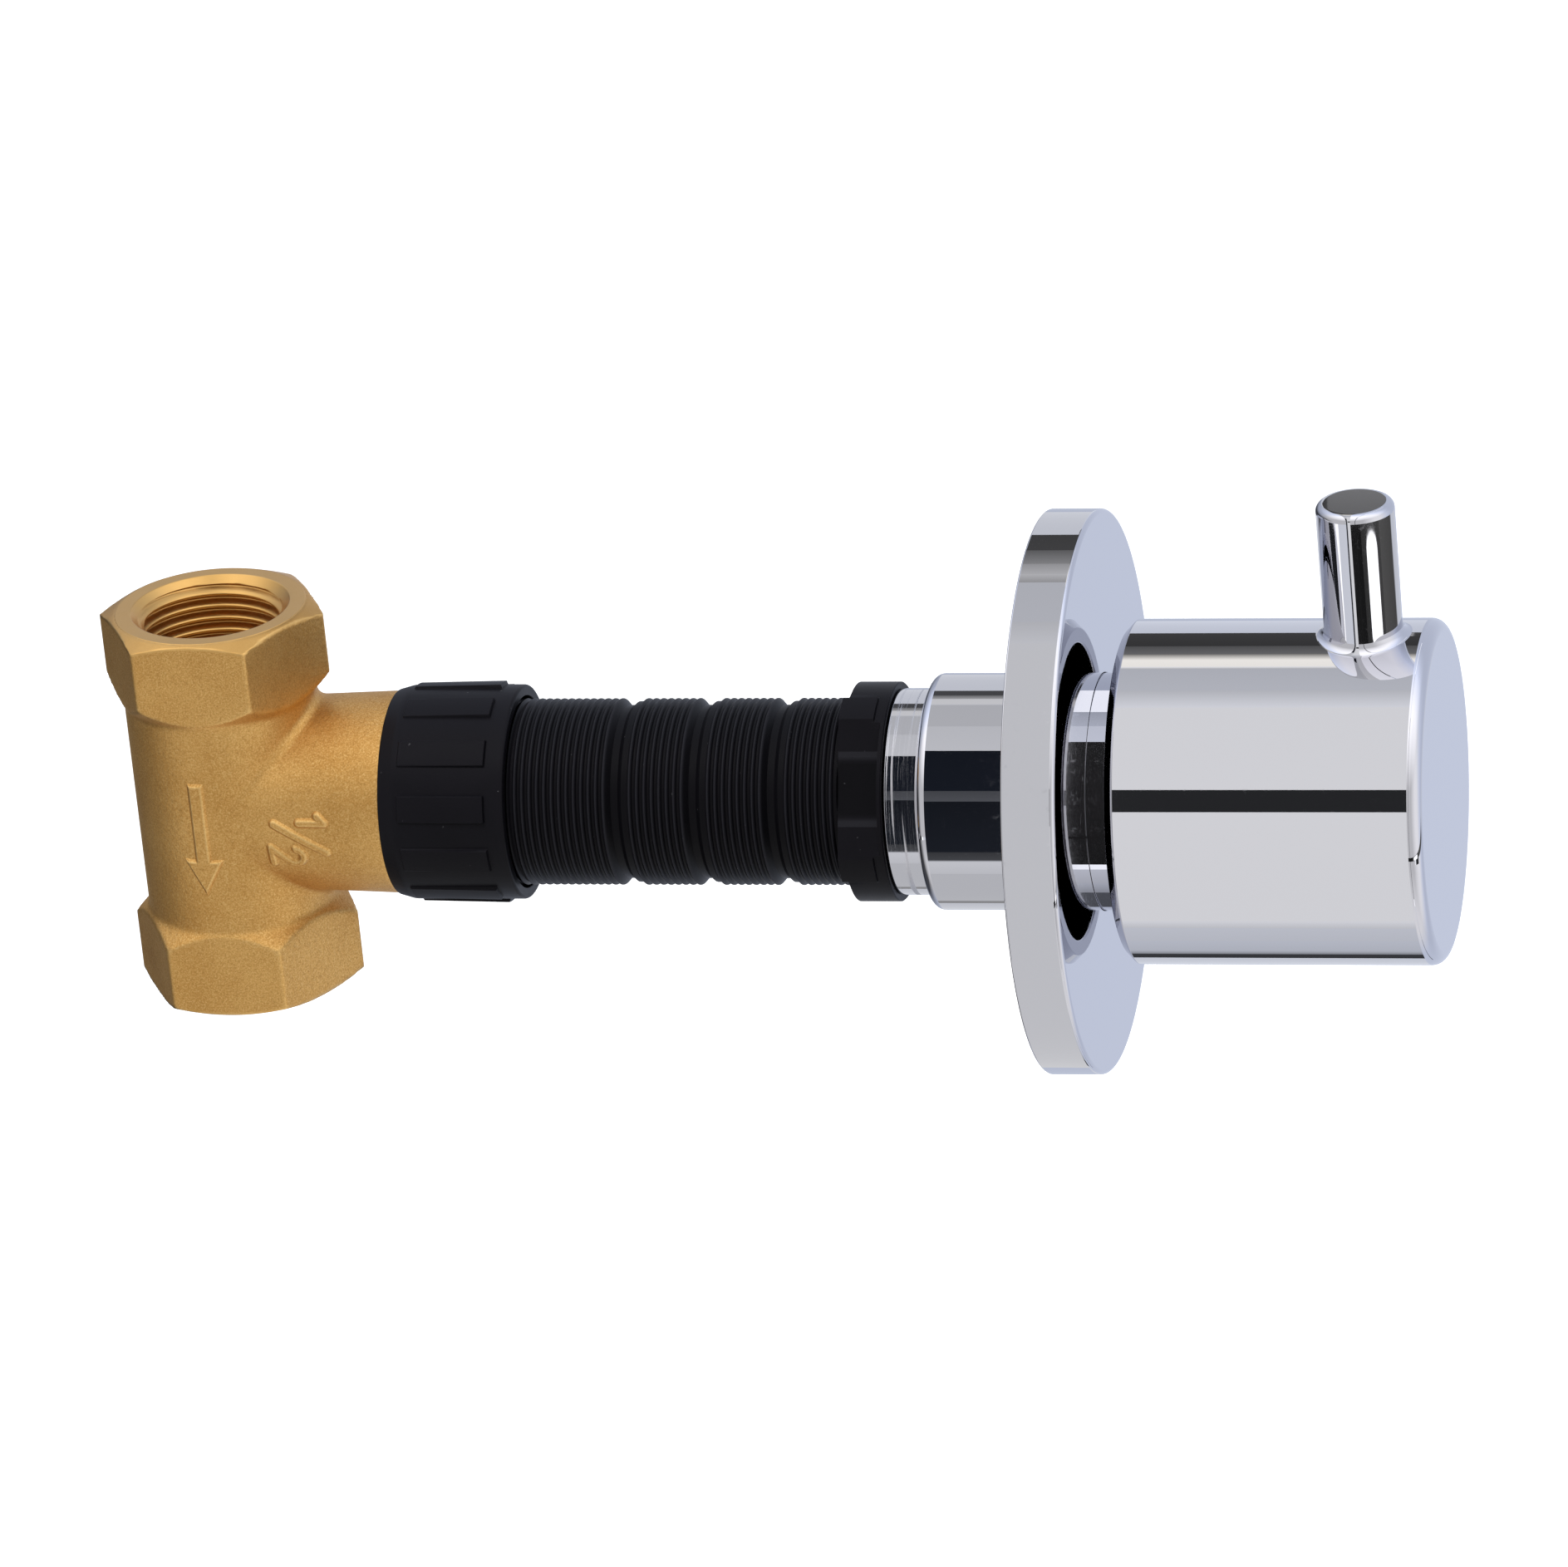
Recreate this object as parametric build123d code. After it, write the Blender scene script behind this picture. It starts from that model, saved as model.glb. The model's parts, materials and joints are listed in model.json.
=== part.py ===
from build123d import *

import os
from math import cos, pi, radians, sin

# A concealed stop valve: a brass body in the pipe run, a long spindle in a ribbed
# plastic guard tube, and the chrome trim that stands out of the finished wall.
# The pipe runs along Z, the spindle along X. Millimetres throughout.
# The row's origin is the middle of the lower port's mouth. The pieces are modelled
# about the crossing of the pipe axis and the spindle axis and lifted at the end.

# Brass body: pipe run and ports
body_height = 56.4
pipe_radius = 13.4
hex_across_flats = 27.8
hex_height = 12.6
hex_edge_break = 0.7
port_thread_radius = 10.48
port_thread_depth = 13.5
port_chamfer = 1.2
cast_fillet = 1.2

# Brass body: neck
neck_root_radius = 13.15
neck_end_radius = 14.05
neck_length = 24.4
spigot_radius = 13.7
spigot_length = 13.6
neck_bore_radius = 10.48

# Brass body: passages and seat
passage_radius = 8.5
seat_face = 2.0
seat_wall = 2.4
seat_radius = 6.0

# Fits
thread_gap = 0.05
fit_gap = 0.05
running_gap = 0.05
slide_gap = 0.05
stop_clearance_deg = 1.0

# Quarter turn
turn_deg = 90.0
stop_width_deg = 24.0

# Headwork housing
headwork_nose_gap = 0.6
cage_radius = 9.0
cage_bore_radius = 7.6
cage_length = 14.6
window_start = 7.0
window_length = 5.2
window_width_deg = 90.0
disc_chamber_depth = 10.9
body_ring_groove_start = 18.0
body_ring_section = 2.0
body_ring_groove_width = 2.3
headwork_flange_radius = 11.2
headwork_flange_width = 1.4
headwork_hex_across_flats = 19.0
headwork_hex_height = 7.0
barrel_radius = 7.5
barrel_length = 5.6

# Ceramic discs and seat seal
disc_thickness = 3.2
disc_port_inner_radius = 2.2
disc_port_outer_radius = 5.9
disc_port_deg = 82.0
disc_key_width = 2.4
disc_key_height = 0.8
seal_width = 1.4
seal_wall = 1.5
drive_slot_width = 3.0
drive_slot_depth = 1.2
drive_slot_deg = 45.0

# Spindle
spindle_radius = 5.0
spindle_flange_width = 2.7
spindle_flange_side_gap = 0.1
stop_depth = 1.4
washer_width = 0.8
ring_section = 1.7
ring_groove_width = 2.0
ring_places = (20.0, 25.0)
ring_groove_gap = 0.02
clip_width = 0.9
clip_depth = 0.6
clip_height = 1.5
clip_opening_deg = 60.0
clip_side_gap = 0.1
spline_radius = 4.0
spline_tooth_height = 0.35
spline_teeth = 20
spindle_spline_length = 9.0

# Extension rod
extension_socket_radius = 7.5
extension_socket_gap = 0.4
extension_socket_floor = 1.5
extension_cone_length = 2.5
extension_rod_radius = 5.0
extension_spline_length = 16.0

# Collar nut
collar_radius = 14.85
collar_length = 17.9
collar_lip_radius = 13.3
collar_face_round = 0.4
collar_back_radius = 14.25
collar_back_taper = 2.2
pad_count = 12
pad_height = 0.4
pad_width = 3.75
pad_length = 12.3
pad_offset = 2.9
pad_phase_deg = 15.0

# Ribbed guard tube
tube_crest_radius = 12.9
tube_bore_radius = 11.4
tube_flange_width = 1.7
rib_depth = 0.42
rib_pitch = 1.04
groove_radius = 11.95
groove_width = 2.5
groove_floor_width = 1.0
groove_floor_offset = 0.9
segment_pitch = 10.97
segment_count = 4
first_groove = 55.9
ribs_start = 40.3
ribs_end_gap = 0.9
head_radius = 15.1
head_width = 5.8
head_rim_width = 0.7
head_across_flats = 24.1
head_block_radius = 15.4
head_block_height = 25.2
head_block_lead = 0.8
head_block_setback = 1.6
head_turn_deg = 26.0
tube_end = 95.21

# Chrome sleeves
narrow_sleeve_radius = 14.2
narrow_sleeve_bore_radius = 9.6
narrow_sleeve_length = 30.6
narrow_spigot_length = 11.4
wide_sleeve_radius = 16.25
wide_sleeve_round = 1.3
shoulder_offset = 4.9
wide_sleeve_length = 28.7
sleeve_ring_offset = 4.5
sleeve_ring_section = 1.8
sleeve_ring_groove_width = 2.1
guide_bush_length = 12.0
guide_bush_inset = 2.0

# Wall flange
flange_radius = 38.7
flange_width = 7.3
flange_wall = 2.0
flange_edge_round = 0.6
flange_hub_radius = 20.0
flange_hub_setback = 0.9
flange_offset = 16.2
flange_ring_section = 1.8
flange_ring_groove_width = 2.1
flange_ring_setback = 1.2

# Lever handle
handle_radius = 23.6
handle_length = 43.1
handle_back_gap = 3.7
handle_wall = 3.3
handle_front_wall = 5.5
handle_back_bevel = 1.2
handle_front_round = 1.8
boss_radius = 10.0
boss_setback = 4.7
bush_radius = 6.55
bush_length = 18.0
lever_radius = 5.35
lever_height = 42.8
lever_setback = 9.7
lever_foot_round = 4.0
lever_tip_round = 1.2
grub_screw_radius = 2.5
grub_screw_place = 12.0

# Places along the spindle, worked out from the sizes above
spindle_height = body_height / 2
port_floor = body_height / 2 - port_thread_depth
hex_corner_radius = hex_across_flats / 2 / cos(pi / 6)
seat_back = seat_face - seat_wall
neck_end = neck_length + spigot_length

headwork_nose = seat_face + headwork_nose_gap
cage_end = headwork_nose + cage_length
chamber_shoulder = headwork_nose + disc_chamber_depth
headwork_hex_start = neck_end + headwork_flange_width
barrel_start = headwork_hex_start + headwork_hex_height
barrel_end = barrel_start + barrel_length
headwork_thread_radius = neck_bore_radius - thread_gap

disc_radius = cage_bore_radius - running_gap
fixed_disc_start = seat_face + seal_width
fixed_disc_end = fixed_disc_start + disc_thickness
moving_disc_start = fixed_disc_end + running_gap
moving_disc_end = moving_disc_start + disc_thickness
spindle_flange_end = moving_disc_end + spindle_flange_width
washer_start = spindle_flange_end + running_gap
spindle_bore_radius = spindle_radius + running_gap

clip_start = barrel_end + clip_side_gap
clip_end = clip_start + clip_width
spindle_spline_start = clip_end + clip_side_gap
spindle_end = spindle_spline_start + spindle_spline_length
clip_groove_radius = spindle_radius - clip_depth

socket_start = spindle_spline_start + extension_socket_gap
socket_end = spindle_end + extension_socket_gap + extension_socket_floor
rod_start = socket_end + extension_cone_length

collar_face = neck_length + collar_length
tube_start = neck_end + fit_gap
tube_flange_end = tube_start + tube_flange_width
head_end = tube_end
head_start = head_end - head_width
head_block_start = head_start - head_block_lead
head_block_end = head_end - head_block_setback

shoulder = head_end + shoulder_offset
narrow_sleeve_end = head_end + narrow_sleeve_length
wide_sleeve_end = shoulder + wide_sleeve_length
wide_sleeve_bore_radius = narrow_sleeve_radius + slide_gap
guide_bush_end = narrow_sleeve_end - guide_bush_inset

flange_back = shoulder + flange_offset
flange_face = flange_back + flange_width
flange_bore_radius = wide_sleeve_radius + slide_gap

handle_back = flange_face + handle_back_gap
handle_front = handle_back + handle_length
boss_start = handle_back + boss_setback
bush_end = boss_start + bush_length
rod_spline_start = boss_start - fit_gap
rod_end = rod_spline_start + extension_spline_length
lever_place = handle_front - lever_setback


def rod(start, end, radius):
    """A round bar along the spindle axis."""
    bar = Cylinder(radius, end - start, align=(Align.CENTER, Align.CENTER, Align.MIN))
    return Pos(start, 0, 0) * Rot(0, 90, 0) * bar


def upright(start, end, radius):
    """A round bar along the pipe axis."""
    bar = Cylinder(radius, end - start, align=(Align.CENTER, Align.CENTER, Align.MIN))
    return Pos(0, 0, start) * bar


def tube(start, end, outer, inner):
    """A plain ring or tube along the spindle axis."""
    return rod(start, end, outer) - rod(start, end, inner)


def turned(outline):
    """A turned solid from (place, radius) points, closed along the spindle axis."""
    first, last = outline[0][0], outline[-1][0]
    profile = Polyline((first, 0), *outline, (last, 0), close=True)
    return revolve(make_face(profile), axis=Axis.X)


def ring(place, outer, section):
    """A rubber O-ring about the spindle axis, given by its outer radius and section."""
    return Pos(place, 0, 0) * Rot(0, 90, 0) * Torus(outer - section / 2, section / 2)


def sector(start, end, radius, middle_deg, width_deg):
    """A wedge of a round bar. Angles are in the YZ plane, from +Y towards +Z."""
    half = radians(width_deg / 2)
    middle = radians(middle_deg)
    a = (radius * cos(middle - half), radius * sin(middle - half))
    b = (radius * cos(middle), radius * sin(middle))
    c = (radius * cos(middle + half), radius * sin(middle + half))
    outline = Line((0, 0), a) + ThreePointArc(a, b, c) + Line(c, (0, 0))
    return extrude(Plane.YZ.offset(start) * make_face(outline), amount=end - start)


def rim(solid, place, radius):
    """The circular edges of a solid at one place and radius on the spindle axis."""
    found = ShapeList()
    for edge in solid.edges().filter_by(GeomType.CIRCLE):
        centre = edge.arc_center
        on_axis = abs(centre.Y) + abs(centre.Z) < 0.001
        if on_axis and abs(centre.X - place) < 0.001 and abs(edge.radius - radius) < 0.001:
            found.append(edge)
    return found


def spline_bar(start, end, gap=0.0):
    """A splined bar: straight teeth between a root and a crest circle, grown by a gap."""
    crest = spline_radius + gap
    root = crest - spline_tooth_height
    step = pi / spline_teeth
    points = []
    for tooth in range(spline_teeth):
        for radius, half in ((crest, 0), (root, 1)):
            angle = (2 * tooth + half) * step
            points.append((radius * cos(angle), radius * sin(angle)))
    outline = make_face(Polyline(*points, close=True))
    return extrude(Plane.YZ.offset(start) * outline, amount=end - start)


def hexagon_x(start, end, across_flats):
    """A hexagonal bar along the spindle axis."""
    outline = RegularPolygon(across_flats / 2, 6, major_radius=False)
    return extrude(Plane.YZ.offset(start) * outline, amount=end - start)


def hexagonal_port():
    """The upper port's hexagon, with its mouth edge turned and its foot sloped to the pipe."""
    top = body_height / 2
    foot = top - hex_height
    prism = extrude(
        Pos(0, 0, foot) * RegularPolygon(hex_across_flats / 2, 6, major_radius=False),
        amount=hex_height,
    )
    slope = hex_corner_radius - pipe_radius
    face_radius = hex_across_flats / 2 - hex_edge_break / 2
    outline = Polyline(
        (0, foot),
        (pipe_radius, foot),
        (hex_corner_radius, foot + slope),
        (hex_corner_radius, top - hex_edge_break),
        (face_radius, top),
        (0, top),
        close=True,
    )
    envelope = revolve(Plane.XZ * make_face(outline), axis=Axis.Z)
    return prism & envelope


def port_bore():
    """The upper port's threaded bore at its major radius, with a countersunk mouth."""
    top = body_height / 2
    outline = Polyline(
        (0, port_floor),
        (port_thread_radius, port_floor),
        (port_thread_radius, top - port_chamfer),
        (port_thread_radius + port_chamfer, top),
        (0, top),
        close=True,
    )
    return revolve(Plane.XZ * make_face(outline), axis=Axis.Z)


def valve_body():
    """The brass casting: pipe run, neck, two ports, and a wall with the seat between them."""
    pipe_end = (body_height - hex_height) / 2
    pipe = upright(-pipe_end, pipe_end, pipe_radius)
    neck = turned(
        [
            (0, neck_root_radius),
            (neck_length, neck_end_radius),
            (neck_length, spigot_radius),
            (neck_end, spigot_radius),
        ]
    )
    shell = pipe + neck
    shell = fillet(shell.edges().filter_by(GeomType.BSPLINE), cast_fillet)
    upper = hexagonal_port()
    shell = shell + upper + mirror(upper, about=Plane.XY)
    bore = port_bore()
    reach = 2 * pipe_radius
    inlet_side = Box(reach, reach, reach, align=(Align.MIN, Align.CENTER, Align.MIN))
    inlet_side = Pos(seat_face, 0, 0) * inlet_side
    inlet = upright(0, port_floor, passage_radius) & inlet_side
    outlet_side = Pos(seat_back, 0, -reach) * Box(
        reach, reach, reach + neck_bore_radius, align=(Align.MAX, Align.CENTER, Align.MIN)
    )
    outlet = upright(-port_floor, neck_bore_radius, passage_radius) & outlet_side
    seat_hole = rod(seat_back, seat_face, seat_radius)
    neck_bore = rod(seat_face, neck_end, neck_bore_radius)
    return shell - [bore, mirror(bore, about=Plane.XY), inlet, outlet, seat_hole, neck_bore]


def seat_seal():
    """The rubber ring that the fixed disc is pressed on, round the seat."""
    return tube(seat_face, fixed_disc_start, disc_radius, disc_radius - seal_wall)


def disc_ports(start, end, middle_deg, outer):
    """Two opposite kidney-shaped ports, each a little under a quarter turn wide."""
    core = rod(start, end, disc_port_inner_radius)
    first = sector(start, end, outer, middle_deg, disc_port_deg)
    second = sector(start, end, outer, middle_deg + 180, disc_port_deg)
    return [first - core, second - core]


def disc_keys(gap):
    """The bar across the fixed disc whose two ends key it into the cage."""
    width = disc_key_width + 2 * gap
    reach = 2 * (disc_radius + disc_key_height + gap)
    length = fixed_disc_end - headwork_nose
    bar = Box(length, reach, width, align=(Align.MIN, Align.CENTER, Align.CENTER))
    return Pos(headwork_nose, 0, 0) * bar


def fixed_disc():
    """The lower ceramic disc, keyed to the cage, with its ports above and below."""
    disc = rod(fixed_disc_start, fixed_disc_end, disc_radius)
    keys = disc_keys(0) & rod(fixed_disc_start, fixed_disc_end, cage_radius)
    return (disc + keys) - disc_ports(fixed_disc_start, fixed_disc_end, 90, disc_port_outer_radius)


def drive_tongue(gap):
    """The bar that couples the spindle and the moving disc; a gap makes it the slot."""
    depth = drive_slot_depth if gap == 0 else drive_slot_depth - gap
    width = drive_slot_width - 2 * gap
    bar = Box(depth, 2 * cage_bore_radius, width, align=(Align.MAX, Align.CENTER, Align.CENTER))
    return Pos(moving_disc_end, 0, 0) * Rot(drive_slot_deg, 0, 0) * bar


def moving_disc():
    """The upper ceramic disc. Shut, its open sectors face the sides, a quarter turn off the ports."""
    disc = rod(moving_disc_start, moving_disc_end, disc_radius)
    sectors = disc_ports(moving_disc_start, moving_disc_end, 90 - turn_deg, cage_radius)
    return disc - sectors - drive_tongue(0)


def headwork_spindle():
    """The spindle: drive tongue, stop flange, shank with two ring grooves, clip groove, splines."""
    flange_outer = cage_bore_radius - spindle_flange_side_gap
    flange = rod(moving_disc_end, spindle_flange_end, flange_outer)
    swing = turn_deg + stop_width_deg + 2 * stop_clearance_deg
    middle = -turn_deg / 2
    notch = sector(moving_disc_end, spindle_flange_end, cage_radius, middle, swing)
    notch -= rod(moving_disc_end, spindle_flange_end, cage_bore_radius - stop_depth - running_gap)
    tongue = drive_tongue(fit_gap) & rod(0, moving_disc_end, cage_bore_radius - stop_depth)
    shank = rod(moving_disc_end, clip_start, spindle_radius)
    shank += rod(clip_start, spindle_spline_start, clip_groove_radius)
    for place in ring_places:
        floor = spindle_bore_radius - ring_groove_gap - ring_section
        shank -= tube(place - ring_groove_width / 2, place + ring_groove_width / 2, cage_radius, floor)
    return (flange - notch) + tongue + shank + spline_bar(spindle_spline_start, spindle_end)


def headwork_body():
    """The brass housing: slotted cage with two windows, thread, spanner hexagon and barrel."""
    outer = turned(
        [
            (headwork_nose, cage_radius),
            (cage_end, cage_radius),
            (cage_end, headwork_thread_radius),
            (neck_end, headwork_thread_radius),
            (neck_end, headwork_flange_radius),
            (headwork_hex_start, headwork_flange_radius),
            (headwork_hex_start, barrel_radius),
            (barrel_end, barrel_radius),
        ]
    )
    outer += hexagon_x(headwork_hex_start, barrel_start, headwork_hex_across_flats)
    chamber = rod(headwork_nose, chamber_shoulder, cage_bore_radius)
    window_end = window_start + window_length
    windows = [
        sector(window_start, window_end, neck_bore_radius, middle, window_width_deg)
        for middle in (90, -90)
    ]
    groove_end = body_ring_groove_start + body_ring_groove_width
    groove = tube(body_ring_groove_start, groove_end, neck_bore_radius, neck_bore_radius - body_ring_section)
    housing = outer - chamber - rod(headwork_nose, barrel_end, spindle_bore_radius) - disc_keys(fit_gap)
    housing = housing - windows - groove
    stop = sector(moving_disc_end + running_gap, spindle_flange_end, cage_radius, 0, stop_width_deg)
    stop -= rod(moving_disc_end, spindle_flange_end, cage_bore_radius - stop_depth)
    return housing + stop


def thrust_washer():
    """The plastic washer between the spindle's flange and the housing's shoulder."""
    return tube(washer_start, washer_start + washer_width, disc_radius, spindle_bore_radius)


def headwork_ring():
    """The rubber ring that seals the housing in the neck."""
    place = body_ring_groove_start + body_ring_groove_width / 2
    return ring(place, neck_bore_radius, body_ring_section)


def spindle_ring(place):
    """One of the two rubber rings that seal the spindle."""
    return ring(place, spindle_bore_radius - ring_groove_gap, ring_section)


def spindle_clip():
    """The open spring clip that keeps the spindle in its housing."""
    band = tube(clip_start, clip_end, clip_groove_radius + clip_height, clip_groove_radius)
    return band - sector(clip_start, clip_end, collar_radius, 90, clip_opening_deg)


def spindle_extension():
    """The brass rod from the short spindle out to the handle: socket, rod and splined end."""
    outer = turned(
        [
            (socket_start, extension_socket_radius),
            (socket_end, extension_socket_radius),
            (rod_start, extension_rod_radius),
            (rod_spline_start, extension_rod_radius),
        ]
    )
    bore = spline_bar(socket_start, spindle_end + fit_gap, fit_gap)
    return outer - bore + spline_bar(rod_spline_start, rod_end)


def collar_nut():
    """The plastic nut that holds the guard tube on the neck, with raised gripping pads."""
    outline = [
        (neck_length, collar_back_radius),
        (neck_length + collar_back_taper, collar_radius),
        (collar_face, collar_radius),
    ]
    collar = turned(outline)
    collar = fillet(rim(collar, collar_face, collar_radius), collar_face_round)
    pad_start = neck_length + pad_offset
    pad_end = pad_start + pad_length
    blank = tube(pad_start, pad_end, collar_radius + pad_height, collar_radius - pad_height)
    bar = Pos(pad_start, 0, 0) * Box(
        pad_length, pad_width, 2 * collar_radius, align=(Align.MIN, Align.CENTER, Align.MIN)
    )
    pad = blank & bar
    for number in range(pad_count):
        collar += Rot(pad_phase_deg + number * 360 / pad_count, 0, 0) * pad
    collar -= rod(neck_length, tube_flange_end + fit_gap, spigot_radius + thread_gap)
    return collar - rod(neck_length, collar_face, collar_lip_radius)


def tube_outline():
    """The guard tube's outside, from its flange to its head: ribs between plain grooves."""
    root = tube_crest_radius - rib_depth
    points = [(tube_start, spigot_radius), (tube_flange_end, spigot_radius)]
    points.append((tube_flange_end, root))
    start = ribs_start
    for segment in range(segment_count):
        groove = first_groove + segment * segment_pitch
        last = segment == segment_count - 1
        end = head_block_start - ribs_end_gap if last else groove
        ribs = int((end - start) / rib_pitch)
        start = end - ribs * rib_pitch
        points.append((start - rib_pitch / 2, root))
        for number in range(ribs):
            place = start + number * rib_pitch
            points.append((place, tube_crest_radius))
            points.append((place + rib_pitch / 2, root))
        points.append((end, tube_crest_radius))
        if not last:
            floor = groove + groove_floor_offset
            points.append((floor, groove_radius))
            points.append((floor + groove_floor_width, groove_radius))
            start = groove + groove_width + rib_pitch / 2
    points += [(head_block_start, root), (head_start, root)]
    points += [(head_start, head_radius), (head_end, head_radius)]
    return points


def guard_tube():
    """The ribbed plastic guard tube, plain where it is cut, with a head for a spanner."""
    reach = 2 * head_radius
    head = turned(tube_outline())
    flat_width = head_width - head_rim_width
    for side in (1, -1):
        cut = Box(flat_width, reach, reach, align=(Align.MIN, Align.MIN, Align.CENTER))
        cut = Pos(head_start, head_across_flats / 2, 0) * cut
        turn = -head_turn_deg if side > 0 else 180 - head_turn_deg
        head -= Rot(turn, 0, 0) * cut
    length = head_block_end - head_block_start
    sides = (Align.MIN, Align.CENTER, Align.CENTER)
    block = Box(length, head_across_flats, head_block_height, align=sides)
    block = Rot(-head_turn_deg, 0, 0) * Pos(head_block_start, 0, 0) * block
    head += block & rod(head_block_start, head_block_end, head_block_radius)
    return head - rod(tube_start, head_end, tube_bore_radius)


def narrow_sleeve():
    """The inner chrome sleeve, held in the guard tube's head; the wide sleeve slides on it."""
    start = head_end + fit_gap
    outer = rod(start, narrow_sleeve_end, narrow_sleeve_radius)
    outer += rod(start - narrow_spigot_length, start, tube_bore_radius - fit_gap)
    place = shoulder + sleeve_ring_offset
    half = sleeve_ring_groove_width / 2
    floor = wide_sleeve_bore_radius - sleeve_ring_section
    outer -= tube(place - half, place + half, wide_sleeve_radius, floor)
    return outer - rod(start - narrow_spigot_length, narrow_sleeve_end, narrow_sleeve_bore_radius)


def sleeve_ring():
    """The rubber ring between the two chrome sleeves."""
    return ring(shoulder + sleeve_ring_offset, wide_sleeve_bore_radius, sleeve_ring_section)


def wide_sleeve():
    """The outer chrome sleeve that carries the wall flange and runs on into the handle."""
    sleeve = rod(shoulder, wide_sleeve_end, wide_sleeve_radius)
    sleeve = fillet(rim(sleeve, shoulder, wide_sleeve_radius), wide_sleeve_round)
    return sleeve - rod(shoulder, wide_sleeve_end, wide_sleeve_bore_radius)


def guide_bush():
    """The plastic bush that centres the extension rod in the narrow sleeve."""
    outer = narrow_sleeve_bore_radius - fit_gap
    inner = extension_rod_radius + running_gap
    return tube(guide_bush_end - guide_bush_length, guide_bush_end, outer, inner)


def flange_ring_place():
    """The middle of the ring groove in the flange's hub."""
    return flange_face - flange_wall - flange_ring_setback - flange_ring_groove_width / 2


def flange():
    """The round wall flange: a shallow chrome cup with a hub that slides on the sleeve."""
    disc = rod(flange_back, flange_face, flange_radius)
    disc = fillet(rim(disc, flange_face, flange_radius), flange_edge_round)
    inside = flange_face - flange_wall
    hollow = tube(flange_back, inside, flange_radius - flange_wall, flange_hub_radius)
    hollow += tube(flange_back, flange_back + flange_hub_setback, flange_hub_radius, wide_sleeve_radius)
    half = flange_ring_groove_width / 2
    place = flange_ring_place()
    groove = rod(place - half, place + half, flange_bore_radius + flange_ring_section)
    return disc - hollow - rod(flange_back, flange_face, flange_bore_radius) - groove


def flange_ring():
    """The rubber ring that holds the flange where it is pushed."""
    outer = flange_bore_radius + flange_ring_section
    return ring(flange_ring_place(), outer, flange_ring_section)


def lever_handle():
    """The handle, cast in one piece: a hollow cylinder with a boss, and a pin lever."""
    cylinder = rod(handle_back, handle_front, handle_radius)
    lever = Pos(lever_place, 0, 0) * upright(0, lever_height, lever_radius)
    lever = fillet(lever.faces().sort_by(Axis.Z)[-1].edges(), lever_tip_round)
    blank = cylinder + lever
    blank = fillet(blank.edges().filter_by(GeomType.BSPLINE), lever_foot_round)
    blank = fillet(rim(blank, handle_front, handle_radius), handle_front_round)
    blank = chamfer(rim(blank, handle_back, handle_radius), handle_back_bevel)
    floor = handle_front - handle_front_wall
    blank -= rod(handle_back, floor, handle_radius - handle_wall)
    blank += rod(boss_start, floor + fit_gap, boss_radius)
    blank -= rod(boss_start, bush_end, bush_radius + fit_gap)
    screw_hole = upright(-handle_radius, 0, grub_screw_radius)
    return blank - Pos(boss_start + grub_screw_place, 0, 0) * screw_hole


def spline_bush():
    """The plastic bush in the handle's boss that takes the rod's splined end."""
    bush = rod(boss_start, bush_end, bush_radius)
    return bush - spline_bar(boss_start, rod_end + fit_gap, fit_gap)


def grub_screw():
    """The screw in the underside of the boss that clamps the bush, with a hexagon socket."""
    top = -bush_radius - fit_gap
    screw = upright(-boss_radius, top, grub_screw_radius - thread_gap)
    hexagon = RegularPolygon(grub_screw_radius / 2, 6)
    socket = Pos(0, 0, -boss_radius) * extrude(hexagon, amount=grub_screw_radius)
    return Pos(boss_start + grub_screw_place, 0, 0) * (screw - socket)


pieces = {
    "valve_body": valve_body(),
    "seat_seal": seat_seal(),
    "fixed_disc": fixed_disc(),
    "moving_disc": moving_disc(),
    "headwork_body": headwork_body(),
    "headwork_ring": headwork_ring(),
    "headwork_spindle": headwork_spindle(),
    "thrust_washer": thrust_washer(),
    "spindle_ring_inner": spindle_ring(ring_places[0]),
    "spindle_ring_outer": spindle_ring(ring_places[1]),
    "spindle_clip": spindle_clip(),
    "spindle_extension": spindle_extension(),
    "collar_nut": collar_nut(),
    "guard_tube": guard_tube(),
    "narrow_sleeve": narrow_sleeve(),
    "sleeve_ring": sleeve_ring(),
    "wide_sleeve": wide_sleeve(),
    "guide_bush": guide_bush(),
    "flange": flange(),
    "flange_ring": flange_ring(),
    "spline_bush": spline_bush(),
    "grub_screw": grub_screw(),
    "lever_handle": lever_handle(),
}

os.makedirs("parts", exist_ok=True)
for name, piece in pieces.items():
    export_step(Pos(0, 0, spindle_height) * piece, f"parts/{name}.step")
print(f"{len(pieces)} pieces, {handle_front + hex_corner_radius:.1f} mm long")
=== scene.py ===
import json
from math import cos, pi, radians, sin, sqrt

import bmesh
import bpy
import numpy as np
from mathutils import Matrix, Vector


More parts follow.
